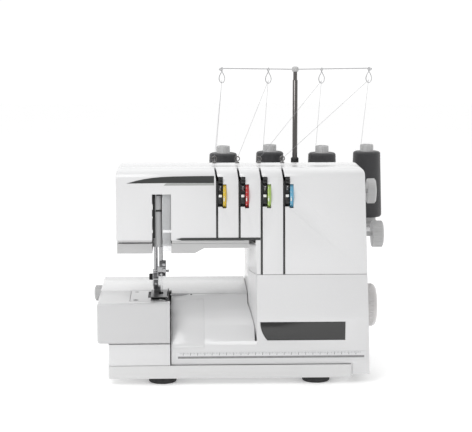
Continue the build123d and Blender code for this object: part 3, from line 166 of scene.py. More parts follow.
class Graph:
    """The node tree of one material."""

    def __init__(self, name: str) -> None:
        """Start an empty material with its shader and output."""
        self.material = bpy.data.materials.new(name)
        self.material.use_nodes = True
        self.tree = self.material.node_tree
        self.tree.nodes.clear()
        self.shader = self.tree.nodes.new("ShaderNodeBsdfPrincipled")
        output = self.tree.nodes.new("ShaderNodeOutputMaterial")
        self.tree.links.new(self.shader.outputs[0], output.inputs[0])

    def node(self, kind: str, settings: dict[str, object], sockets: dict) -> bpy.types.Node:
        """Add a node.

        Args:
            kind: The node's type.
            settings: Its properties, set before its sockets.
            sockets: Socket name or number to a value, a Value or a socket.

        Returns:
            The new node.
        """
        made = self.tree.nodes.new(kind)
        for key, setting in settings.items():
            setattr(made, key, setting)
        for key, given in sockets.items():
            self.feed(made.inputs[key], given)
        return made

    def feed(self, socket: bpy.types.NodeSocket, given: object) -> None:
        """Link or set one socket.

        Args:
            socket: The socket to fill.
            given: A Value, a socket or a plain value.
        """
        if isinstance(given, Value):
            given = given.socket
        if isinstance(given, bpy.types.NodeSocket):
            self.tree.links.new(given, socket)
        else:
            socket.default_value = given

    def place(self, centre: Triple = (0.0, 0.0, 0.0)) -> list[Value]:
        """Object coordinates about a centre.

        Args:
            centre: The point that becomes zero, in metres.

        Returns:
            The three coordinates, in metres.
        """
        coordinates = self.node("ShaderNodeTexCoord", {}, {})
        moved = self.node(
            "ShaderNodeMapping",
            {},
            {"Vector": coordinates.outputs["Object"], "Location": tuple(-c for c in centre)},
        )
        parts = self.node("ShaderNodeSeparateXYZ", {}, {0: moved.outputs[0]})
        return [Value(self, parts.outputs[i]) for i in range(3)]

    def noise(self, scale: float, detail: float = 3.0, stretch: Triple = (1.0, 1.0, 1.0)) -> Value:
        """Noise over the object.

        Args:
            scale: Its scale.
            detail: Its number of octaves.
            stretch: Scale along each axis.

        Returns:
            A value from nought to one.
        """
        coordinates = self.node("ShaderNodeTexCoord", {}, {})
        mapped = self.node(
            "ShaderNodeMapping", {}, {"Vector": coordinates.outputs["Object"], "Scale": stretch}
        )
        made = self.node(
            "ShaderNodeTexNoise", {}, {"Vector": mapped.outputs[0], "Scale": scale, "Detail": detail}
        )
        return Value(self, made.outputs[0])

    def mix(self, share: object, first: Triple, second: Triple) -> bpy.types.NodeSocket:
        """Mix two colours.

        Args:
            share: Share of the second.
            first: A colour.
            second: A colour.

        Returns:
            The mixed colour's socket.
        """
        made = self.node(
            "ShaderNodeMix", {"data_type": "RGBA"}, {0: share, 6: (*first, 1.0), 7: (*second, 1.0)}
        )
        return made.outputs[2]

    def bump(self, height: Value, depth: float, strength: float = 1.0) -> None:
        """Raise the surface by a height.

        Args:
            height: Height from nought to one.
            depth: Millimetres that one stands for.
            strength: How much of it shows.
        """
        made = self.node(
            "ShaderNodeBump", {}, {"Strength": strength, "Distance": depth * MM, "Height": height}
        )
        self.tree.links.new(made.outputs[0], self.shader.inputs["Normal"])

    def set(self, **sockets: object) -> None:
        """Fill sockets of the shader, with underscores for spaces."""
        for key, given in sockets.items():
            self.feed(self.shader.inputs[key.replace("_", " ")], given)


def darker(colour: Triple, share: float) -> Triple:
    """A colour times a share."""
    return tuple(channel * share for channel in colour)


# ---------------------------------------------------------------- finishes
@dataclass(frozen=True)
class Plastic:
    """Moulded plastic with a fine spark-eroded texture and a faint flow of shade."""

    name: str
    slot: str
    colour: Triple
    roughness: float = 0.35
    coat: float = 0.0
    grain: float = 0.012

    def make(self) -> bpy.types.Material:
        """Build the material."""
        graph = Graph(self.name)
        cloud = graph.noise(7.0, 3.0)
        fine = graph.noise(1500.0, 2.0)
        graph.set(
            Base_Color=graph.mix(cloud, self.colour, darker(self.colour, 0.96)),
            Roughness=fine * 0.10 + (self.roughness - 0.05),
            Coat_Weight=self.coat,
            Coat_Roughness=0.1,
        )
        graph.bump(fine, self.grain, 0.5)
        return graph.material


@dataclass(frozen=True)
class Metal:
    """Metal with drawn lines or a cast skin."""

    name: str
    slot: str
    colour: Triple
    roughness: float = 0.3
    lines: Triple = (30.0, 30.0, 1.5)
    scale: float = 60.0
    depth: float = 0.012

    def make(self) -> bpy.types.Material:
        """Build the material."""
        graph = Graph(self.name)
        drawn = graph.noise(self.scale, 3.0, self.lines)
        graph.set(
            Base_Color=graph.mix(drawn, darker(self.colour, 0.78), self.colour),
            Metallic=1.0,
            Roughness=drawn * 0.16 + (self.roughness - 0.08),
        )
        graph.bump(drawn, self.depth, 0.5)
        return graph.material


@dataclass(frozen=True)
class Rubber:
    """Dull moulded rubber."""

    name: str
    slot: str
    colour: Triple = (0.018, 0.018, 0.019)

    def make(self) -> bpy.types.Material:
        """Build the material."""
        graph = Graph(self.name)
        fine = graph.noise(900.0, 3.0)
        graph.set(Base_Color=graph.mix(fine, self.colour, (0.036, 0.036, 0.037)), Roughness=fine * 0.1 + 0.65)
        graph.bump(fine, 0.03, 0.5)
        return graph.material


@dataclass(frozen=True)
class Clear:
    """Clear moulded plastic with faint haze."""

    name: str
    slot: str

    def make(self) -> bpy.types.Material:
        """Build the material."""
        graph = Graph(self.name)
        haze = graph.noise(300.0, 2.0)
        graph.set(
            Base_Color=graph.mix(haze, (0.93, 0.94, 0.95), (0.88, 0.90, 0.92)),
            Roughness=haze * 0.06 + 0.05,
            Alpha=haze * 0.06 + 0.34,
            IOR=1.49,
        )
        return graph.material


@dataclass(frozen=True)
class Rule:
    """White strip printed with a centimetre rule above a dark band."""

    name: str
    slot: str
    low: Triple = (-0.097, 0.0, 0.035)
    length: float = 265.0
    height: float = 11.0

    def make(self) -> bpy.types.Material:
        """Build the material."""
        graph = Graph(self.name)
        x, _, z = graph.place(self.low)
        right, up = x / MM, z / (MM * self.height)
        small = ((right / 2.0).fraction() < 0.18) * (up > 0.74)
        middle = ((right / 10.0).fraction() < 0.07) * (up > 0.56)
        ticks = small.largest(middle) * (up < 0.93) * (right > 6.0) * (right < self.length - 8.0)
        band = (up > 0.16) * (up < 0.44) * (right > 3.0) * (right < self.length - 3.0)
        wear = graph.noise(220.0, 3.0)
        graph.set(
            Base_Color=graph.mix(
                ticks * 0.8 + band * (wear * 0.2 + 0.62), (0.70, 0.70, 0.71), (0.06, 0.06, 0.06)
            ),
            Roughness=wear * 0.08 + 0.3,
        )
        return graph.material


@dataclass(frozen=True)
class WoundThread:
    """Cross-wound sewing thread about an upright axis."""

    name: str
    slot: str
    centre: Triple
    colour: Triple = (0.021, 0.021, 0.023)
    pitch: float = 1.1

    def make(self) -> bpy.types.Material:
        """Build the material."""
        graph = Graph(self.name)
        x, y, z = graph.place(self.centre)
        around = y.maths("ARCTAN2", y, x)
        up = z / (MM * self.pitch) * TURN
        rising = (up + around * 3).sine()
        falling = (up - around * 3).sine()
        patches = (up * 0.13 + around * 4).sine() * (up * 0.13 - around * 4).sine()
        choose = patches > 0.0
        strands = (rising * choose + falling * (1 - choose)) * 0.5 + 0.5
        fuzz = graph.noise(2600.0, 3.0)
        graph.set(
            Base_Color=graph.mix(strands * fuzz, self.colour, (0.085, 0.085, 0.09)),
            Roughness=fuzz * 0.2 + 0.5,
            Sheen_Weight=0.25,
            Sheen_Roughness=0.4,
        )
        graph.bump(strands * 0.8 + fuzz * 0.2, 0.35, 0.9)
        return graph.material


@dataclass(frozen=True)
class SpunThread:
    """Loose sewing thread, twisted from two plies."""

    name: str
    slot: str
    colour: Triple = (0.22, 0.22, 0.23)

    def make(self) -> bpy.types.Material:
        """Build the material."""
        graph = Graph(self.name)
        x, y, z = graph.place()
        twist = ((z + x * 0.6 - y * 0.4) / MM * (TURN / 0.7)).sine() * 0.5 + 0.5
        fuzz = graph.noise(3000.0, 2.0)
        graph.set(
            Base_Color=graph.mix(twist * 0.7 + fuzz * 0.3, self.colour, darker(self.colour, 1.7)),
            Roughness=fuzz * 0.1 + 0.6,
        )
        graph.bump(twist, 0.05, 0.6)
        return graph.material


WHITE = Plastic("white_casing", "white_plastic", (0.72, 0.72, 0.725), 0.26, 0.3)
# A darker copy of the casing white for the free-arm nose: painted shade where less light falls on it.
WHITE_PAINTED_SHADE = Plastic("nose_white_painted_shade", "white_plastic", (0.60, 0.60, 0.605), 0.28, 0.25)
BASE_WHITE = Plastic("base_white", "white_plastic", (0.70, 0.70, 0.70), 0.36, 0.1)
# Grey plastic; on the underarm panel it is painted shade on casing that lies in shadow.
GREY = Plastic("grey_trim_and_painted_shade", "grey_plastic", (0.50, 0.50, 0.50), 0.42)
# Grey for the printed bed marks, also used as painted shade in the finger scoop.
COOL_GREY = Plastic("grey_marks_and_scoop_shade", "grey_plastic", (0.36, 0.36, 0.37), 0.4)
SLEEVE_GREY = Plastic("sleeve_grey", "grey_plastic", (0.46, 0.465, 0.47), 0.3, 0.2)
SILVER = Plastic("silver_underline", "grey_plastic", (0.38, 0.39, 0.38), 0.25, 0.3)
LIGHT = Plastic("light_knob", "light_plastic", (0.56, 0.56, 0.56), 0.36)
WHEEL_WHITE = Plastic("wheel_white", "light_plastic", (0.66, 0.645, 0.64), 0.34, 0.15)
CAP_GREY = Plastic("spool_cap_grey", "light_plastic", (0.50, 0.50, 0.50), 0.4)
GLOSS_BLACK = Plastic("gloss_black", "black_gloss", (0.012, 0.012, 0.012), 0.12, 0.5, 0.001)
# Gloss black for the slash, also used as painted shade for the slot along the arm.
SLASH_AND_SLOT_SHADE_BLACK = Plastic("slash_black_and_slot_shade", "black_gloss", (0.034, 0.036, 0.035), 0.3, 0.2, 0.004)
BLACK = Plastic("black_plastic", "black_plastic", (0.014, 0.014, 0.014), 0.45)
RUBBER = Rubber("foot_rubber", "black_rubber")
STEEL = Metal("ground_steel", "bright_steel", (0.44, 0.44, 0.45), 0.26)
PLATE_STEEL = Metal("plate_steel", "bright_steel", (0.66, 0.66, 0.665), 0.34, (2.0, 40.0, 2.0))
# Steel with a darker colour, for the clamps, the plate lines, the upper knife, the feed dogs and the foot.
DARK_STEEL = Metal("darkened_steel", "dark_steel", (0.17, 0.17, 0.175), 0.33)
DISC_STEEL = Metal("disc_steel", "bright_steel", (0.52, 0.52, 0.53), 0.22, (1.0, 24.0, 24.0))
CHROME = Metal("chromed_tube", "bright_chrome", (0.62, 0.62, 0.63), 0.12, (20.0, 20.0, 0.6))
# Chrome made dark: painted dark reflection on the pole and its guides, which are bright chrome.
CHROME_PAINTED_DARK = Metal("chrome_painted_dark_reflection", "bright_chrome", (0.20, 0.19, 0.185), 0.14, (20.0, 20.0, 0.6))
CAST = Metal("cast_skin", "cast_aluminium", (0.55, 0.55, 0.56), 0.5, (6.0, 6.0, 6.0), 40.0, 0.08)
CLEAR = Clear("clear_shield", "clear_plastic")
YELLOW = Plastic("yellow_dial", "yellow_plastic", (0.72, 0.52, 0.06), 0.32, 0.2)
RED = Plastic("red_dial", "red_plastic", (0.52, 0.045, 0.045), 0.32, 0.2)
GREEN = Plastic("green_dial", "green_plastic", (0.42, 0.58, 0.16), 0.32, 0.2)
BLUE = Plastic("blue_dial", "blue_plastic", (0.16, 0.44, 0.62), 0.32, 0.2)
# White for the dial print, also used as the painted highlight above each thread drum.
DIAL_PRINT_AND_GLINT = Plastic("dial_print_and_drum_highlight", "white_plastic", (0.80, 0.80, 0.78), 0.4)
RULER = Rule("printed_rule", "ruler_print")
LOOSE_THREAD = SpunThread("loose_thread", "grey_thread")


# ---------------------------------------------------------------- modelling
class Bench:
    """Modelling: one piece at a time, with its place in its mesh."""

    @staticmethod
    def begin() -> bpy.types.Object:
        """Put down a single vertex at the origin and stay in edit mode."""
        bpy.ops.object.select_all(action="DESELECT")
        bpy.ops.mesh.primitive_plane_add(size=MM)
        bpy.ops.object.mode_set(mode="EDIT")
        bpy.ops.mesh.select_mode(type="VERT")
        bpy.ops.mesh.merge(type="CENTER")
        return bpy.context.active_object

    @staticmethod
    def draw(points: list[Vector]) -> None:
        """Move the vertex to the first point and extrude it along the others.

        Args:
            points: Points of the line, in metres.
        """
        bpy.ops.transform.translate(value=points[0])
        for start, end in zip(points, points[1:]):
            bpy.ops.mesh.extrude_region_move(TRANSFORM_OT_translate={"value": end - start})

    @staticmethod
    def tidy(
        piece: bpy.types.Object, name: str, bevel: float = 0.0, segments: int = 2, angle: float = 30.0
    ) -> bpy.types.Object:
        """Leave edit mode, round the sharp edges and shade the piece.

        Args:
            piece: The piece being modelled.
            name: Its name.
            bevel: Width of the rounding in millimetres.
            segments: Segments of the rounding.
            angle: Edges sharper than this are rounded and shaded sharp.

        Returns:
            The piece.
        """
        if bpy.context.mode != "OBJECT":
            bpy.ops.mesh.select_all(action="SELECT")
            bpy.ops.mesh.remove_doubles(threshold=1e-6)
            bpy.ops.mesh.normals_make_consistent(inside=False)
            bpy.ops.object.mode_set(mode="OBJECT")
        piece.name = piece.data.name = name
        if bevel:
            rounding = piece.modifiers.new("rounding", "BEVEL")
            rounding.width, rounding.segments = bevel * MM, segments
            rounding.limit_method, rounding.angle_limit = "ANGLE", math.radians(angle)
            rounding.harden_normals = False
            bpy.ops.object.modifier_apply(modifier="rounding")
        bpy.ops.object.shade_smooth_by_angle(angle=math.radians(angle))
        return piece

    @classmethod
    def turn(
        cls, name: str, centre: Triple, axis: Axis, profile: list[tuple[float, float]],
        steps: int = 48, bevel: float = 0.0, angle: float = 30.0,
    ) -> bpy.types.Object:
        """Turn a profile about an axis.

        Args:
            name: Name of the piece.
            centre: A point on the axis.
            axis: The axis.
            profile: Radius and height pairs, in millimetres.
            steps: Steps round the turn.
            bevel: Width of the rounding.
            angle: Angle that counts as a sharp edge.

        Returns:
            The turned piece.
        """
        piece = cls.begin()
        base = at(*centre)
        cls.draw([base + axis.out * (r * MM) + axis.along * (h * MM) for r, h in profile])
        bpy.ops.mesh.select_all(action="SELECT")
        bpy.ops.mesh.spin(steps=steps, angle=TURN, center=base, axis=axis.along)
        return cls.tidy(piece, name, bevel, 2, angle)

    @classmethod
    def prism(
        cls, name: str, points: list[Triple], depth: Triple, bevel: float = 0.0, segments: int = 2
    ) -> bpy.types.Object:
        """Extrude a flat outline.

        Args:
            name: Name of the piece.
            points: Corners of the outline in millimetres.
            depth: Direction and length of the extrusion.
            bevel: Width of the rounding.
            segments: Segments of the rounding.

        Returns:
            The extruded piece.
        """
        piece = cls.begin()
        cls.draw([at(*p) for p in points])
        bpy.ops.mesh.select_all(action="SELECT")
        bpy.ops.mesh.edge_face_add()
        bpy.ops.mesh.select_all(action="SELECT")
        bpy.ops.mesh.extrude_region_move(TRANSFORM_OT_translate={"value": at(*depth)})
        return cls.tidy(piece, name, bevel, segments)

    @classmethod
    def block(
        cls, name: str, low: Triple, high: Triple, bevel: float = 0.4, segments: int = 2
    ) -> bpy.types.Object:
        """Rounded block between two corners.

        Args:
            name: Name of the piece.
            low: Lowest corner in millimetres.
            high: Highest corner.
            bevel: Width of the rounding.
            segments: Segments of the rounding.

        Returns:
            The block.
        """
        corners = [
            (low[0], low[1], low[2]), (high[0], low[1], low[2]), (high[0], high[1], low[2]),
            (low[0], high[1], low[2]),
        ]
        return cls.prism(name, corners, (0.0, 0.0, high[2] - low[2]), bevel, segments)

    @classmethod
    def wire(
        cls, name: str, points: list[Triple], radius: float, closed: bool = False, order: int = 3
    ) -> bpy.types.Object:
        """Bent wire along a smooth line.

        Args:
            name: Name of the piece.
            points: Control points in millimetres.
            radius: Radius of the wire.
            closed: Whether the line is a loop.
            order: Order of the spline.

        Returns:
            The wire as a mesh.
        """
        curve = bpy.data.curves.new(name, "CURVE")
        curve.dimensions, curve.bevel_depth, curve.bevel_resolution = "3D", radius * MM, 3
        curve.use_fill_caps, curve.resolution_u = True, 8
        spline = curve.splines.new("NURBS")
        spline.points.add(len(points) - 1)
        for point, place in zip(spline.points, points):
            point.co = (*at(*place), 1.0)
        spline.order_u = order
        spline.use_cyclic_u, spline.use_endpoint_u = closed, not closed
        bent = bpy.data.objects.new(name, curve)
        bpy.context.scene.collection.objects.link(bent)
        bpy.ops.object.select_all(action="DESELECT")
        bent.select_set(True)
        bpy.context.view_layer.objects.active = bent
        bpy.ops.object.convert(target="MESH")
        return cls.tidy(bpy.context.active_object, name, angle=60.0)

    @staticmethod
    def around(piece: bpy.types.Object, count: int, centre: Triple, axis: Axis) -> bpy.types.Object:
        """Repeat a piece evenly round an axis, in its own mesh.

        Args:
            piece: The piece to repeat.
            count: How many there are in the end.
            centre: A point on the axis, in millimetres.
            axis: The axis.

        Returns:
            The piece.
        """
        bpy.ops.object.select_all(action="DESELECT")
        piece.select_set(True)
        bpy.context.view_layer.objects.active = piece
        bpy.ops.object.mode_set(mode="EDIT")
        bpy.ops.mesh.select_all(action="SELECT")
        sweep = TURN * (count - 1) / count
        bpy.ops.mesh.spin(steps=count - 1, dupli=True, angle=sweep, center=at(*centre), axis=axis.along)
        bpy.ops.object.mode_set(mode="OBJECT")
        return piece

    @staticmethod
    def join(name: str, pieces: list[bpy.types.Object]) -> bpy.types.Object:
        """Join pieces of one finish into one.

        Args:
            name: Name of the joined piece.
            pieces: The pieces.

        Returns:
            The joined piece.
        """
        bpy.ops.object.select_all(action="DESELECT")
        for piece in pieces:
            piece.select_set(True)
        bpy.context.view_layer.objects.active = pieces[0]
        bpy.ops.object.join()
        pieces[0].name = pieces[0].data.name = name
        return pieces[0]

    @staticmethod
    def copy(piece: bpy.types.Object, name: str, shift: Triple) -> bpy.types.Object:
        """Copy a piece with its own mesh and shift the copy's mesh.

        Args:
            piece: The piece to copy.
            name: Name of the copy.
            shift: How far it is moved, in millimetres.

        Returns:
            The copy.
        """
        made = bpy.data.objects.new(name, piece.data.copy())
        made.data.name = name
        bpy.context.scene.collection.objects.link(made)
        bpy.ops.object.select_all(action="DESELECT")
        made.select_set(True)
        bpy.context.view_layer.objects.active = made
        bpy.ops.object.mode_set(mode="EDIT")
        bpy.ops.mesh.select_all(action="SELECT")
        bpy.ops.transform.translate(value=at(*shift))
        bpy.ops.object.mode_set(mode="OBJECT")
        return made


@dataclass
class Workshop:
    """Puts finishes on pieces and fits them to the bodies of the frame."""

    nodes: dict[str, bpy.types.Object]
    made: dict[object, bpy.types.Material] = field(default_factory=dict)

    def dress(self, piece: bpy.types.Object, finish: object) -> None:
        """Give a piece one finish.

        Args:
            piece: The piece.
            finish: One of the finishes above.
        """
        if finish not in self.made:
            self.made[finish] = finish.make()
        piece.data.materials.clear()
        piece.data.materials.append(self.made[finish])

    def fit(self, piece: bpy.types.Object, body: str, finish: object, *stands_for: str) -> bpy.types.Object:
        """Dress a piece and let it ride on its body.

        Args:
            piece: The piece.
            body: The body that it moves with.
            finish: Its finish.
            stands_for: Nodes that it is shown instead of.

        Returns:
            The piece.
        """
        self.dress(piece, finish)
        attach(piece, body)
        if stands_for:
            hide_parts(*stands_for)
        log.info("%s rides on %s", piece.name, body)
        return piece

    def soften(self, node: str, name: str, body: str, finish: object, width: float = 0.5) -> bpy.types.Object:
        """Show a node's shape with its edges rounded.

        Args:
            node: The node whose shape is taken.
            name: Name of the new piece.
            body: The body that it moves with.
            finish: Its finish.
            width: Width of the rounding in millimetres.

        Returns:
            The new piece.
        """
        piece = bpy.data.objects.new(name, self.nodes[node].data.copy())
        bpy.context.scene.collection.objects.link(piece)
        bpy.ops.object.select_all(action="DESELECT")
        piece.select_set(True)
        bpy.context.view_layer.objects.active = piece
        bpy.ops.object.mode_set(mode="EDIT")
        bpy.ops.mesh.select_mode(type="VERT")
        bpy.ops.mesh.select_all(action="SELECT")
        bpy.ops.mesh.remove_doubles(threshold=5e-6)
        bpy.ops.mesh.dissolve_limited(angle_limit=math.radians(0.4))
        Bench.tidy(piece, name, width, 3 if width > 0.35 else 2)
        return self.fit(piece, body, finish, node)


# ---------------------------------------------------------------- sub-assemblies
@dataclass
class Casing:
    """Moulded shells of the base, the head, the column and the covers."""

    shop: Workshop
    soft: float = 0.7
    crisp: float = 0.3

    def shells(self) -> None:
        """Round the edges of every moulded shell."""
        for node, body, finish, width in (
            ("base_tray", "machine", BASE_WHITE, self.soft),
            ("lower_housing", "machine", BASE_WHITE, self.soft),
            ("front_sill", "machine", WHITE, self.soft),
            ("bed_cover", "machine", WHITE, self.soft),
            # The free-arm cover takes the darker white, which is painted shade.
            ("freearm_cover", "freearm", WHITE_PAINTED_SHADE, self.soft),
            ("upper_casing_front", "machine", WHITE, self.crisp),
            ("upper_casing_rear", "machine", WHITE, self.crisp),
            # The grey here is painted shade on the underside of the arm.
            ("underarm_panel", "machine", GREY, self.crisp),
            ("rear_housing", "machine", WHITE, self.crisp),
            ("looper_cover", "looper_door", WHITE, self.crisp),
            ("cover_insert", "looper_door", GLOSS_BLACK, self.crisp),
            ("looper_panel", "looper_door", WHITE, 0.2),
            ("ruler_strip", "looper_door", RULER, 0.15),
            ("arm_trim", "machine", GREY, self.crisp),
            ("spool_stand", "machine", WHITE, self.soft),
            ("bar_cover", "machine", SLEEVE_GREY, self.crisp),
            ("power_inlet", "machine", BLACK, self.crisp),
            ("rubber_feet", "machine", RUBBER, self.crisp),
        ):
            self.shop.soften(node, f"{node}_shell", body, finish, width)

    def surface(self, z: float) -> float:
        """Depth of the head's front at a height, up over the shoulder."""
        if z <= 284.0:
            return -119.0 + 11.0 * (z - 153.0) / 131.0
        return -93.0 - math.sqrt(max(0.0, 15.0**2 - (z - 284.0) ** 2))

    def plate(
        self, name: str, outline: list[tuple[float, float]], finish: object, proud: float, *stands_for: str
    ) -> None:
        """Lay a thin plate on the head's front.

        Args:
            name: Name of the plate.
            outline: Its corners as width and height.
            finish: Its finish.
            proud: How far it stands out.
            stands_for: Nodes that it is shown instead of.
        """
        points = [(x, self.surface(z) - proud, z) for x, z in outline]
        self.shop.fit(
            Bench.prism(name, points, (0.0, proud + 0.5, 0.0), 0.1, 1), "machine", finish, *stands_for
        )

    def inlays(self) -> None:
        """Lay the black slash and the silver line on the head, and a black strip of painted shade along the
        slot under the arm's front panels.
        """
        swoosh = [
            (-163.5, 279.2), (-157.0, 281.0), (-150.0, 282.9), (-139.0, 285.2), (-128.0, 286.8),
            (-116.0, 287.9), (-100.0, 288.6), (-70.0, 289.0), (-43.0, 289.1), (-43.0, 279.4), (-110.0, 279.6),
        ]
        self.plate("head_slash", swoosh[::-1], SLASH_AND_SLOT_SHADE_BLACK, 0.25, "head_inlay")
        self.plate(
            "head_lip", [(-176.6, 198.4), (-128.9, 198.4), (-128.9, 200.9), (-176.6, 200.9)], GREY, 0.05
        )
        self.plate(
            "head_underline", [(-112.5, 276.2), (-43.0, 276.2), (-43.0, 279.2), (-109.0, 279.2)], SILVER, 0.2
        )
        # Black strip of painted shade where the slot under the front panels lies in shadow.
        self.plate(
            "arm_slot_painted_shade",
            [(-96.0, 202.6), (-88.0, 200.8), (-40.0, 200.7), (20.8, 200.7), (20.8, 204.2), (-88.0, 204.2)],
            SLASH_AND_SLOT_SHADE_BLACK, 0.3,
        )

    def build(self) -> None:
        """Build the whole casing."""
        self.shells()
        self.inlays()


@dataclass
class TensionBank:
    """Four thread channels, each with its discs, guide and setting dial."""

    shop: Workshop
    channels: tuple[float, ...] = (-39.0, -8.0, 22.5, 53.5)
    lowest: tuple[float, ...] = (200.5, 200.5, 153.0, 153.0)
    width: float = 2.9
    seam_z: float = 153.0
    seam_y: float = -119.0
    shoulder_z: float = 284.0
    shoulder_y: float = -108.0
    dial_z: float = 261.0

    def face(self, z: float) -> float:
        """Depth of the leaning front at a height."""
        share = (z - self.seam_z) / (self.shoulder_z - self.seam_z)
        return self.seam_y + (self.shoulder_y - self.seam_y) * share

    def channel(self, i: int) -> None:
        """Line one channel with black and put a black screen behind its top.

        Args:
            i: Number of the channel, from nought.
        """
        x, low = self.channels[i], self.lowest[i] + 0.4
        left = x - self.width / 2
        outline = [
            (left, self.face(low) + 1.1, low), (left, self.face(low) + 2.9, low),
            (left, self.face(282.0) + 2.9, 282.0), (left, self.face(282.0) + 1.1, 282.0),
        ]
        liner = Bench.prism(f"channel_liner_{i + 1}", outline, (self.width, 0.0, 0.0), 0.15)
        self.shop.fit(liner, "machine", GLOSS_BLACK)
        screen = Bench.block(f"channel_back_{i + 1}", (x - 5.6, -95.0, 282.5), (x + 1.4, -94.2, 295.8), 0.15)
        self.shop.fit(screen, "machine", BLACK)

    def unit(self, i: int) -> None:
        """Fit the discs, the guide and the drum beside one channel; the drum is black as painted dark
        reflection, with a white block above it as its painted highlight.

        Args:
            i: Number of the channel, from nought.
        """
        x = self.channels[i] + 1.9
        front = self.face(self.dial_z)
        parts = []
        for k, z in enumerate((279.6, 283.2)):
            parts.append(
                Bench.block(f"guide_{i}_{k}", (x, front - 1.6, z), (x + 5.4, front + 6.0, z + 2.6), 0.5)
            )
        self.shop.fit(Bench.join(f"thread_guide_{i + 1}", parts), "machine", BLACK)
        dish = [(1.6, 0.3), (3.6, 0.35), (5.2, 1.1), (5.3, 0.8), (3.7, 0.0), (1.6, 0.0)]
        mate = [(r, 3.2 - h) for r, h in dish]
        discs = [
            Bench.turn(f"disc_{i}_{k}", (x + 0.6, front + 3.4, 272.4), Axis.X, form + form[:1], 40, 0.0, 50.0)
            for k, form in enumerate((mate, dish))
        ]
        self.shop.fit(Bench.join(f"tension_discs_{i + 1}", discs), "machine", DISC_STEEL)
        # A white block that is the painted highlight on the upper side of the glossy drum.
        drum_glint = Bench.block(
            f"drum_painted_highlight_{i + 1}", (x + 0.4, front + 0.3, 259.6), (x + 4.9, front + 3.0, 263.2), 0.5
        )
        self.shop.fit(drum_glint, "machine", DIAL_PRINT_AND_GLINT)
        # The drum is black: painted dark reflection on what is a glossy grey metal drum.
        drum = Bench.turn(
            f"drum_painted_dark_{i + 1}", (x + 0.4, front + 3.4, 253.6), Axis.X,
            [(0.0, 0.0), (3.9, 0.0), (4.5, 0.5), (4.5, 4.3), (3.9, 4.8), (0.0, 4.8)], 32, 0.2,
        )
        self.shop.fit(drum, "machine", BLACK)

    def dial(self, i: int, finish: Plastic) -> None:
        """Build one setting dial, half ribbed and half printed.

        Args:
            i: Number of the dial, from nought.
            finish: Its colour.
        """
        low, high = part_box(f"tension_dial_{i + 1}")
        left, right = low[0] / MM, high[0] / MM
        middle = (left, (low[1] + high[1]) / 2 / MM, (low[2] + high[2]) / 2 / MM)
        thick = right - left
        wheel = Bench.turn(
            f"dial_wheel_{i + 1}", middle, Axis.X,
            [(3.4, 0.1), (16.5, 0.1), (17.3, 0.5), (19.2, 0.1), (19.6, 0.5), (19.6, 2.0), (18.9, 2.3),
             (18.9, thick - 0.4), (18.5, thick), (3.4, thick), (3.4, 0.1)], 96, 0.0, 25.0,
        )
        rib = Bench.block(
            f"dial_rib_{i}", (left + 2.4, middle[1] - 0.42, middle[2] + 18.6),
            (right - 0.1, middle[1] + 0.42, middle[2] + 19.9), 0.2, 1,
        )
        ribs = Bench.around(rib, 60, middle, Axis.X)
        self.shop.fit(
            Bench.join(f"setting_dial_{i + 1}", [wheel, ribs]), f"dial_{i + 1}", finish,
            f"tension_dial_{i + 1}",
        )
        mark = Bench.block(
            f"dial_mark_{i}", (left + 0.7, middle[1] - 0.3, middle[2] + 19.2),
            (left + 1.9, middle[1] + 0.3, middle[2] + 19.75), 0.08, 1,
        )
        marks = Bench.around(mark, 20, middle, Axis.X)
        marks.name = f"dial_marks_{i + 1}"
        self.shop.fit(marks, f"dial_{i + 1}", DIAL_PRINT_AND_GLINT)
        band = Bench.block(
            f"dial_patch_{i + 1}", (left + 0.6, middle[1] - 19.85, middle[2] - 6.4),
            (left + 2.0, middle[1] - 17.6, middle[2] - 1.4), 0.2, 1,
        )
        self.shop.fit(band, f"dial_{i + 1}", DIAL_PRINT_AND_GLINT)

    def build(self) -> None:
        """Build the four channels."""
        for i, finish in enumerate((YELLOW, RED, GREEN, BLUE)):
            self.channel(i)
            self.unit(i)
            self.dial(i, finish)
        self.shop.soften("tension_units", "tension_unit_bodies", "machine", BLACK, 0.3)


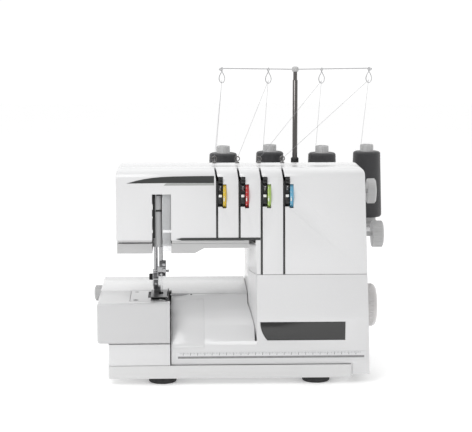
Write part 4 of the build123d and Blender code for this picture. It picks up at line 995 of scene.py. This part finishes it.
@dataclass
class Threads:
    """Four sewing threads from their cones over the hooks into the channels."""

    shop: Workshop
    channels: tuple[float, ...] = (-39.0, -8.0, 22.5, 53.5)
    rings: tuple[float, ...] = (-41.0, -8.4, 22.7, 56.0)
    spools: tuple[tuple[float, float], ...] = ((-25.5, 83.0), (45.7, 103.0), (123.2, 83.0), (193.2, 103.0))
    hooks: tuple[float, ...] = (-27.3, 42.4, 122.4, 192.4)
    pole_x: float = 83.0
    half_bar: float = 116.0
    radius: float = 0.2

    def route(self, i: int) -> list[Triple]:
        """Control points of one thread.

        Args:
            i: Number of the thread, from nought.

        Returns:
            The points in millimetres.
        """
        share = abs(self.hooks[i] - self.pole_x) / self.half_bar
        x, y = self.spools[i]
        eye = (self.hooks[i], 93.0 - 12.0 * share, 427.0 + 2.0 * share - 22.0 + 4.8)
        ring = (self.rings[i], -30.0, 305.0)
        entry = self.channels[i]
        return [
            (x - 11.0, y - 10.0, 302.65),
            (eye[0], eye[1] + 1.8, eye[2]),
            (eye[0], eye[1] - 1.8, eye[2]),
            ring,
            (entry - 3.0, -96.5, 299.8),
            (entry - 1.0, -99.0, 289.0),
        ]

    def eased(self, points: list[Triple], reach: float = 2.6) -> list[Triple]:
        """Add a point near each guide on the long straight runs.

        Args:
            points: Control points of a thread.
            reach: Distance of the added points from the guides.

        Returns:
            The points with the added ones.
        """
        eased = [points[0]]
        for start, end in zip(points, points[1:]):
            run = Vector(end) - Vector(start)
            if run.length > 60.0:
                step = run.normalized() * reach
                if start is not points[0]:
                    eased.append(tuple(Vector(start) + step))
                eased.append(tuple(Vector(end) - step))
            eased.append(end)
        return eased

    def thread(self, i: int) -> None:
        """Run one thread.

        Args:
            i: Number of the thread, from nought.
        """
        name = f"sewing_thread_{i + 1}"
        points = self.eased(self.route(i))
        curve = bpy.data.curves.new(name, "CURVE")
        curve.dimensions, curve.resolution_u = "3D", 12
        spline = curve.splines.new("NURBS")
        spline.points.add(len(points) - 1)
        for point, place in zip(spline.points, points):
            point.co = (*at(*place), 1.0)
        spline.order_u = 3
        spline.use_endpoint_u = True
        strand = bpy.data.objects.new(name, curve)
        bpy.context.scene.collection.objects.link(strand)
        line = [v.co.copy() for v in bpy.data.meshes.new_from_object(strand).vertices]
        curve.bevel_depth, curve.bevel_resolution, curve.use_fill_caps = self.radius * MM, 2, True
        bpy.ops.object.select_all(action="DESELECT")
        strand.select_set(True)
        bpy.context.view_layer.objects.active = strand
        bpy.ops.object.convert(target="MESH")
        strand = bpy.context.active_object
        bpy.ops.object.shade_smooth()
        self.shop.fit(strand, "pole", LOOSE_THREAD, f"thread_{i + 1}")
        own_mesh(strand)

    def build(self) -> None:
        """Run the four threads."""
        for i in range(len(self.channels)):
            self.thread(i)


@dataclass
class ThreadStand:
    """Telescopic pole with its wire bar and hooks, and the spools on their holders."""

    shop: Workshop
    pole_x: float = 83.0
    pole_y: float = 93.0
    bar_z: float = 427.0
    spools: tuple[tuple[float, float], ...] = ((-25.5, 83.0), (45.7, 103.0), (123.2, 83.0), (193.2, 103.0))
    hooks: tuple[float, ...] = (-27.3, 42.4, 122.4, 192.4)
    wire: float = 0.9

    def spot(self, x: float) -> tuple[float, float]:
        """Depth and height of the swept bar at a width."""
        share = abs(x - self.pole_x) / 116.0
        return self.pole_y - 12.0 * share, self.bar_z + 2.0 * share

    def pole(self) -> None:
        """Build the pole, its clip and the swept bar with a hook for each thread."""
        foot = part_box("stand_tube")[1][2] / MM
        centre = (self.pole_x, self.pole_y, 0.0)
        # The stand tube takes the dark chrome, which is a painted dark reflection.
        self.shop.dress(self.shop.nodes["stand_tube"], CHROME_PAINTED_DARK)
        shaft = Bench.turn(
            "telescopic_pole", centre, Axis.Z,
            [
                (0.0, 231.0), (3.8, 231.0), (3.8, 410.3), (3.4, 411.0), (3.0, 411.0), (3.0, 424.4),
                (0.0, 424.4),
            ], 40, 0.0, 40.0,
        )
        # The shaft also takes the painted dark reflection.
        self.shop.fit(shaft, "pole", CHROME_PAINTED_DARK, "thread_pole")
        clip = Bench.turn(
            "pole_collar", centre, Axis.Z,
            [
                (3.9, foot - 4.0), (5.9, foot - 3.4), (5.9, foot + 3.0), (4.6, foot + 4.6), (3.9, foot + 4.6),
                (3.9, foot - 4.0),
            ],
            32, 0.2,
        )
        self.shop.fit(clip, "machine", BLACK)
        hub = Bench.turn(
            "bar_hub", centre, Axis.Z,
            [
                (0.0, 423.4), (4.4, 423.4), (5.0, 424.2), (5.0, 429.0), (4.2, 430.4), (2.0, 431.2),
                (0.0, 431.2),
            ], 32, 0.3,
        )
        self.shop.fit(hub, "pole", CAP_GREY)
        for side, end in enumerate((-30.9, 196.0)):
            y, z = self.spot(end)
            way = -1.0 if side == 0 else 1.0
            points = [
                (self.pole_x, self.pole_y, self.bar_z), (
                    self.pole_x + (end - self.pole_x) * 0.5, (self.pole_y + y) / 2,
                    self.bar_z + (z - self.bar_z) / 2,
                ),
                (end - way * 2.4, y, z), (end, y, z - 0.2), (end + way * 0.2, y, z - 2.6),
                (end - way * 2.2, y, z - 3.2),
            ]
            bar = Bench.wire(f"swept_bar_{side + 1}", points, self.wire)
            self.shop.fit(bar, "pole", CHROME)
        for i, x in enumerate(self.hooks):
            y, z = self.spot(x)
            loop = [
                (1.9, 0.6, -0.8), (0.0, 0.4, 2.2), (-1.9, 0.2, -0.8), (0.9, -0.8, -6.0), (4.6, -0.9, -13.6),
                (3.4, -0.2, -20.0), (0.0, 0.0, -21.8), (-3.4, 0.2, -20.0), (-4.6, 0.9, -13.6),
                (-0.9, 0.8, -6.0),
            ]
            hook = Bench.wire(
                f"thread_hook_{i + 1}", [(x + a, y + b, z + c) for a, b, c in loop], self.wire * 0.75, True
            )
            self.shop.fit(hook, "pole", CHROME)

    def spool(self, i: int) -> None:
        """Build one cone of thread with its core and cap.

        Args:
            i: Number of the spool, from nought.
        """
        x, y = self.spools[i]
        low, high = 203.2, 302.5
        lower, upper = 23.6, 20.5
        profile = [(10.2, low), (lower - 1.6, low)]
        steps = 46
        for k in range(steps + 1):
            share = k / steps
            ripple = 0.12 if k % 2 else -0.12
            profile.append(
                (
                    lower + (upper - lower) * share + ripple - (1.0 if k in (0, steps) else 0.0),
                    low + 0.8 + (high - low - 1.6) * share,
                )
            )
        profile += [(upper - 3.0, high), (10.2, high), (10.2, low)]
        winding = Bench.turn(f"thread_winding_{i + 1}", (x, y, 0.0), Axis.Z, profile, 72, 0.0, 70.0)
        finish = WoundThread(f"winding_{i + 1}", "black_thread", (x * MM, y * MM, 0.0))
        self.shop.fit(winding, f"cone_{i + 1}", finish, f"thread_cone_{i + 1}")
        core = Bench.turn(
            f"cone_core_{i + 1}", (x, y, 0.0), Axis.Z,
            [
                (6.4, low), (10.0, low), (10.0, 312.0), (9.2, 313.0), (7.2, 313.0), (6.4, 312.0), (6.4, low)
            ], 48, 0.0, 40.0,
        )
        rib = Bench.block(f"core_rib_{i}", (x - 0.5, y - 10.0, 303.5), (x + 0.5, y - 9.4, 311.4), 0.2, 1)
        self.shop.fit(
            Bench.join(
                f"spool_core_{i + 1}", [core, Bench.around(rib, 24, (x, y, 0.0), Axis.Z)]
            ), f"cone_{i + 1}", CAP_GREY
        )

    def build(self) -> None:
        """Build the stand and its spools."""
        self.pole()
        for i in range(len(self.spools)):
            self.spool(i)
        self.shop.soften("spool_holders", "holder_cups", "machine", CAP_GREY, 0.4)


@dataclass
class SideControls:
    """Handwheel and dials on the ends of the machine."""

    shop: Workshop

    def handwheel(self) -> None:
        """Turn the domed handwheel and flute its rim."""
        low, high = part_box("handwheel")
        x0, x1 = low[0] / MM, high[0] / MM
        centre = (x0, (low[1] + high[1]) / 2 / MM, (low[2] + high[2]) / 2 / MM)
        r = (high[2] - low[2]) / 2 / MM
        thick = x1 - x0
        wheel = Bench.turn(
            "handwheel_body", centre, Axis.X,
            [
                (3.8, 0.0), (r - 3.0, 0.0), (r - 0.7, 1.2), (r - 0.5, 3.0), (r - 0.5, thick - 7.0),
                (r - 1.6, thick - 4.4), (r - 5.0, thick - 2.4), (r - 12.0, thick - 1.2),
                (r - 13.0, thick - 1.8),
                (8.0, thick - 1.8), (7.0, thick - 0.6), (3.8, thick), (0.0, thick), (0.0, thick - 6.0),
                (3.8, thick - 6.0), (3.8, 0.0),
            ],
            96, 0.3, 25.0,
        )
        rib = Bench.block(
            "wheel_rib",
            (x0 + 2.4, centre[1] - 0.8, centre[2] + r - 1.2),
            (x1 - 7.6, centre[1] + 0.8, centre[2] + r - 0.05), 0.3,
        )
        ribs = Bench.around(rib, 60, centre, Axis.X)
        self.shop.fit(Bench.join("handwheel_shell", [wheel, ribs]), "drive", WHEEL_WHITE, "handwheel")

    def knob(self, node: str, body: str, axis: Axis, ribs: int, finish: Plastic) -> None:
        """Turn one setting knob with a ribbed rim.

        Args:
            node: The node that it stands for.
            body: Its body.
            axis: The way that it faces.
            ribs: Number of ribs.
            finish: Its finish.
        """
        low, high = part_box(node)
        r = (high[2] - low[2]) / 2 / MM
        length = (high[0] - low[0]) / MM
        start = low[0] / MM if axis is Axis.X else high[0] / MM
        centre = (start, (low[1] + high[1]) / 2 / MM, (low[2] + high[2]) / 2 / MM)
        stem = length * 0.62
        body_piece = Bench.turn(
            f"{node}_cap", centre, axis,
            [
                (0.0, 0.0), (3.4, 0.0), (3.4, stem), (r - 1.4, stem), (r - 0.7, stem + 0.8),
                (r - 0.7, length - 2.6), (r - 2.2, length - 0.9), (r * 0.55, length), (0.0, length),
            ],
            72, 0.0, 25.0,
        )
        near, far = sorted((start + axis.along.x * (stem + 0.6), start + axis.along.x * (length - 2.2)))
        rib = Bench.block(
            f"{node}_rib",
            (near, centre[1] - 0.55, centre[2] + r - 1.3),
            (far, centre[1] + 0.55, centre[2] + r - 0.04), 0.25, 1,
        )
        around = Bench.around(rib, ribs, centre, Axis.X)
        self.shop.fit(Bench.join(f"{node}_knob", [body_piece, around]), body, finish, node)

    def build(self) -> None:
        """Build every control on the ends."""
        self.handwheel()
        self.knob("width_dial", "width_selector", Axis.X, 40, LIGHT)
        self.knob("feed_dial", "feed_selector", Axis.X, 42, LIGHT)
        self.knob("cut_dial", "cut_selector", Axis.LEFT, 26, GREY)
        self.shop.soften("power_switch", "rocker", "switch_rocker", BLACK, 0.4)


@dataclass
class SewingArea:
    """Needle clamp, foot fittings, plate engravings and bed marks round the needles."""

    shop: Workshop
    needle: tuple[float, float] = (-117.4, -68.0)
    presser: tuple[float, float] = (-124.8, -58.0)

    def clamp(self) -> None:
        """Build the needle clamp with its screws and thread guide."""
        x, y = self.needle
        lower = Bench.block("clamp_low", (-122.4, -73.0, 143.0), (-110.6, -63.6, 150.0), 0.9)
        upper = Bench.block("clamp_high", (-119.6, -72.2, 149.6), (-110.4, -64.0, 165.0), 0.9)
        self.shop.fit(Bench.join("needle_clamp", [lower, upper]), "needle_carrier", DARK_STEEL)
        screws = [
            Bench.turn(
                f"clamp_screw_{k}", (sx, -73.0, sz), Axis.FRONT,
                [(0.0, -1.0), (r, -1.0), (r, 1.6), (r - 0.5, 2.2), (0.0, 2.2)], 28, 0.15,
            )
            for k, (sx, sz, r) in enumerate(
                ((-113.4, 160.2, 2.6), (-117.6, 146.4, 1.7), (-112.6, 152.6, 1.4))
            )
        ]
        side = Bench.turn(
            "clamp_pin", (-110.8, -68.4, 150.0), Axis.X,
            [(0.0, 0.0), (1.5, 0.0), (1.5, 2.6), (2.1, 2.8), (2.1, 4.2), (0.0, 4.2)], 28, 0.15,
        )
        self.shop.fit(Bench.join("clamp_screws", [*screws, side]), "needle_carrier", STEEL)
        loop = Bench.wire(
            "needle_thread_guide",
            [
                (-122.2, -70.0, 149.0), (-125.0, -71.5, 149.4), (-128.4, -73.0, 150.6),
                (-128.6, -74.2, 153.4), (-125.6, -74.0, 153.8), (-123.6, -73.2, 151.8),
                (-122.0, -72.2, 151.0),
            ],
            0.55,
        )
        self.shop.fit(loop, "needle_carrier", CHROME)

    def foot(self) -> None:
        """Add the clamp, its pin and the knurled screw to the presser bar."""
        x, y = self.presser
        sleeve = Bench.block("foot_clamp_low", (x - 3.6, y - 4.6, 122.6), (x + 3.4, y + 3.4, 137.0), 0.8)
        collar = Bench.block("foot_clamp_high", (x - 3.9, y - 4.9, 137.8), (x + 3.7, y + 3.7, 146.4), 0.8)
        self.shop.fit(Bench.join("foot_clamp", [sleeve, collar]), "presser", DARK_STEEL)
        pin = Bench.turn(
            "foot_clamp_pin", (x - 0.2, y - 4.4, 130.5), Axis.FRONT,
            [(0.0, -0.6), (1.9, -0.6), (1.9, 0.8), (1.4, 1.2), (0.0, 1.2)], 24, 0.1,
        )
        self.shop.fit(pin, "presser", STEEL)
        knob = Bench.turn(
            "foot_screw", (x - 3.2, y, 140.0), Axis.LEFT,
            [
                (0.0, 0.0), (1.6, 0.0), (1.6, 1.4), (3.8, 1.4), (4.2, 1.8), (4.2, 6.0), (3.8, 6.4), (0.0, 6.4)
            ], 40, 0.0,
        )
        rib = Bench.block("screw_rib", (x - 9.0, y - 0.22, 143.9), (x - 4.8, y + 0.22, 144.5), 0.1, 1)
        ribs = Bench.around(rib, 30, (x, y, 140.0), Axis.X)
        self.shop.fit(Bench.join("foot_thumb_screw", [knob, ribs]), "presser", BLACK)

    def plate(self) -> None:
        """Dress the needle plate and engrave lines on it."""
        low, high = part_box("needle_plate")
        top = high[2] / MM
        self.shop.dress(self.shop.nodes["needle_plate"], PLATE_STEEL)
        lines = []
        for k in range(4):
            y0 = low[1] / MM + 4.0 + 2.6 * k
            lines.append(
                Bench.block(
                    f"plate_line_{k}", (low[0] / MM + 4.0, y0, top - 0.2),
                    (low[0] / MM + 12.0, y0 + 0.35, top + 0.03), 0.0,
                )
            )
        self.shop.fit(Bench.join("plate_lines", lines), "machine", DARK_STEEL)

    def window(self) -> None:
        """Fit the dark rail, the ring and the cap on the sleeve in the window."""
        low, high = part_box("bar_cover")
        x0, y0, top = low[0] / MM, low[1] / MM, high[2] / MM
        rail = Bench.block("window_rail", (x0 + 0.1, y0 - 0.2, 202.0), (x0 + 3.6, y0 + 1.0, top - 0.6), 0.3)
        self.shop.fit(rail, "machine", BLACK)
        ring = Bench.block("sleeve_ring", (x0 + 4.4, y0 - 0.5, 239.0), (x0 + 13.0, y0 + 1.0, 241.6), 0.4)
        cap = Bench.block(
            "sleeve_cap", (x0 + 5.4, y0 - 0.3, top - 2.4), (x0 + 12.0, y0 + 1.0, top - 0.4), 0.3
        )
        self.shop.fit(Bench.join("sleeve_bands", [ring, cap]), "machine", BLACK)
        line = Bench.block("sleeve_edge", (x0 + 13.4, y0 - 0.3, 202.0), (x0 + 14.2, y0 + 0.8, top - 4.0), 0.2)
        self.shop.fit(line, "machine", WHITE)

    def bed(self) -> None:
        """Add a grey patch of painted shade for the finger scoop, a black disc of painted shade for a small
        hole, and the stitch marks on the bed.
        """
        rim = [
            (-104.5, -62.5), (-98.0, -64.0), (-90.0, -63.6), (-83.0, -61.6), (-78.0, -58.8), (-84.0, -58.6),
            (-104.5, -58.6),
        ]
        # A thin grey patch that is painted shade of the finger scoop at the bed's front edge.
        scoop = Bench.prism(
            "scoop_painted_shade", [(x, y, 115.1 + (y + 58.0) * 0.32) for x, y in rim], (0.0, 0.0, 0.35), 0.1, 1
        )
        self.shop.fit(scoop, "looper_door", COOL_GREY)
        # A black disc standing for a small hole: painted shade inside the hole.
        dot = Bench.turn(
            "hole_painted_shade", (-75.0, -60.5, 114.2), Axis.Z,
            [(0.0, 0.0), (1.1, 0.0), (1.1, 0.7), (0.8, 0.95), (0.0, 1.0)], 24,
        )
        self.shop.fit(dot, "looper_door", BLACK)
        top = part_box("bed_cover")[1][2] / MM
        marks = []
        for k, (x, long) in enumerate(
            ((-103.0, 5.0), (-98.5, 3.4), (-94.0, 5.0), (-88.5, 3.4), (-84.5, 5.0), (-81.5, 3.4))
        ):
            marks.append(
                Bench.block(
                    f"mark_{k}", (x, -52.0, top - 0.3), (x + 0.7, -52.0 + long * 2.6, top + 0.06), 0.0
                )
            )
            marks.append(
                Bench.block(f"mark_foot_{k}", (x, -52.0, top - 0.3), (x + 2.2, -50.6, top + 0.06), 0.0)
            )
        self.shop.fit(Bench.join("bed_marks", marks), "machine", COOL_GREY)

    def build(self) -> None:
        """Build everything round the needles."""
        self.clamp()
        self.foot()
        self.plate()
        self.window()
        self.bed()


@dataclass
class Studio:
    """Pale floor, soft lights and the camera."""

    eye: Triple = (-83.34, -2126.0, 518.0)
    target: Triple = (-13.5, -126.0, 236.0)
    lens: float = 112.64
    sensor: float = 36.0
    white: float = 1.05
    front: float = 0.56

    def camera(self) -> None:
        """Place the camera."""
        data = bpy.data.cameras.new("view")
        data.lens, data.sensor_width = self.lens, self.sensor
        camera = bpy.data.objects.new("view", data)
        bpy.context.scene.collection.objects.link(camera)
        camera.location = at(*self.eye)
        camera.rotation_euler = (at(*self.target) - at(*self.eye)).to_track_quat("-Z", "Y").to_euler()
        bpy.context.scene.camera = camera

    def lamp(self, name: str, place: Triple, aim: Triple, power: float, size: float) -> None:
        """Hang one soft lamp.

        Args:
            name: Its name.
            place: Where it hangs, in millimetres.
            aim: What it points at.
            power: Its power in watts.
            size: Its width in metres.
        """
        data = bpy.data.lights.new(name, "AREA")
        data.shape, data.size, data.energy = "DISK", size, power
        lamp = bpy.data.objects.new(name, data)
        bpy.context.scene.collection.objects.link(lamp)
        lamp.location = at(*place)
        lamp.rotation_euler = (at(*aim) - at(*place)).to_track_quat("-Z", "Y").to_euler()

    def light(self) -> None:
        """Light the room evenly with a soft key from the upper left."""
        world = bpy.data.worlds.new("studio")
        world.use_nodes = True
        tree = world.node_tree
        paper = tree.nodes["Background"]
        paper.inputs[0].default_value = (1.0, 1.0, 1.0, 1.0)
        way = tree.nodes.new("ShaderNodeTexCoord")
        parts = tree.nodes.new("ShaderNodeSeparateXYZ")
        fade = tree.nodes.new("ShaderNodeMapRange")
        fade.interpolation_type = "SMOOTHSTEP"
        for name, given in (
            ("From Min", -0.25), ("From Max", 0.5), ("To Min", self.front), ("To Max", self.white)
        ):
            fade.inputs[name].default_value = given
        tree.links.new(way.outputs["Generated"], parts.inputs[0])
        tree.links.new(parts.outputs["Y"], fade.inputs["Value"])
        tree.links.new(fade.outputs["Result"], paper.inputs[1])
        bpy.context.scene.world = world
        self.lamp("key", (-620.0, -1050.0, 1150.0), (-120.0, 0.0, 220.0), 6.5, 0.8)
        self.lamp("top", (0.0, 100.0, 1500.0), (0.0, 0.0, 0.0), 6.0, 1.6)

    def floor(self) -> None:
        """Lay the floor."""
        bpy.ops.object.select_all(action="DESELECT")
        bpy.ops.mesh.primitive_plane_add(size=12.0)
        floor = bpy.context.active_object
        floor.name = "studio_floor"
        graph = Graph("studio_paper")
        tone = graph.noise(2.0)
        graph.set(
            Base_Color=graph.mix(tone, (0.95, 0.95, 0.95), (0.93, 0.93, 0.93)), Roughness=0.85,
            Emission_Color=(1.0, 1.0, 1.0, 1.0), Emission_Strength=0.26,
        )
        floor.data.materials.append(graph.material)

    def build(self) -> None:
        """Set up the whole studio."""
        self.camera()
        self.light()
        self.floor()
        bpy.context.scene.view_settings.view_transform = "Standard"


PLAIN_NODES = {
    STEEL: (
        "plate_screws", "needle_bar", "presser_bar", "lower_looper", "upper_looper", "main_shaft",
        "motor_shaft", "lower_knife",
    ),
    PLATE_STEEL: ("needle_plate",),
    DARK_STEEL: ("upper_knife", "feed_dogs", "presser_foot"),
    CHROME: ("needles",),
    CHROME_PAINTED_DARK: ("stand_tube", "top_guides"),
    CAST: ("machine_frame", "motor"),
    CLEAR: ("needle_shield", "lamp_lens"),
    BLACK: ("presser_lifter",),
    RUBBER: ("drive_belt",),
}


def main() -> None:
    """Load the frame, set up the studio and build every sub-assembly."""
    logging.basicConfig(level=logging.INFO, format="%(name)s: %(message)s")
    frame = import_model()
    Studio().build()
    shop = Workshop(frame["nodes"])
    for finish, names in PLAIN_NODES.items():
        for name in names:
            shop.dress(frame["nodes"][name], finish)
    Threads(shop).build()
    for assembly in (Casing, TensionBank, ThreadStand, SideControls, SewingArea):
        assembly(shop).build()
        log.info("%s is built", assembly.__name__)


if __name__ == "__main__":
    main()
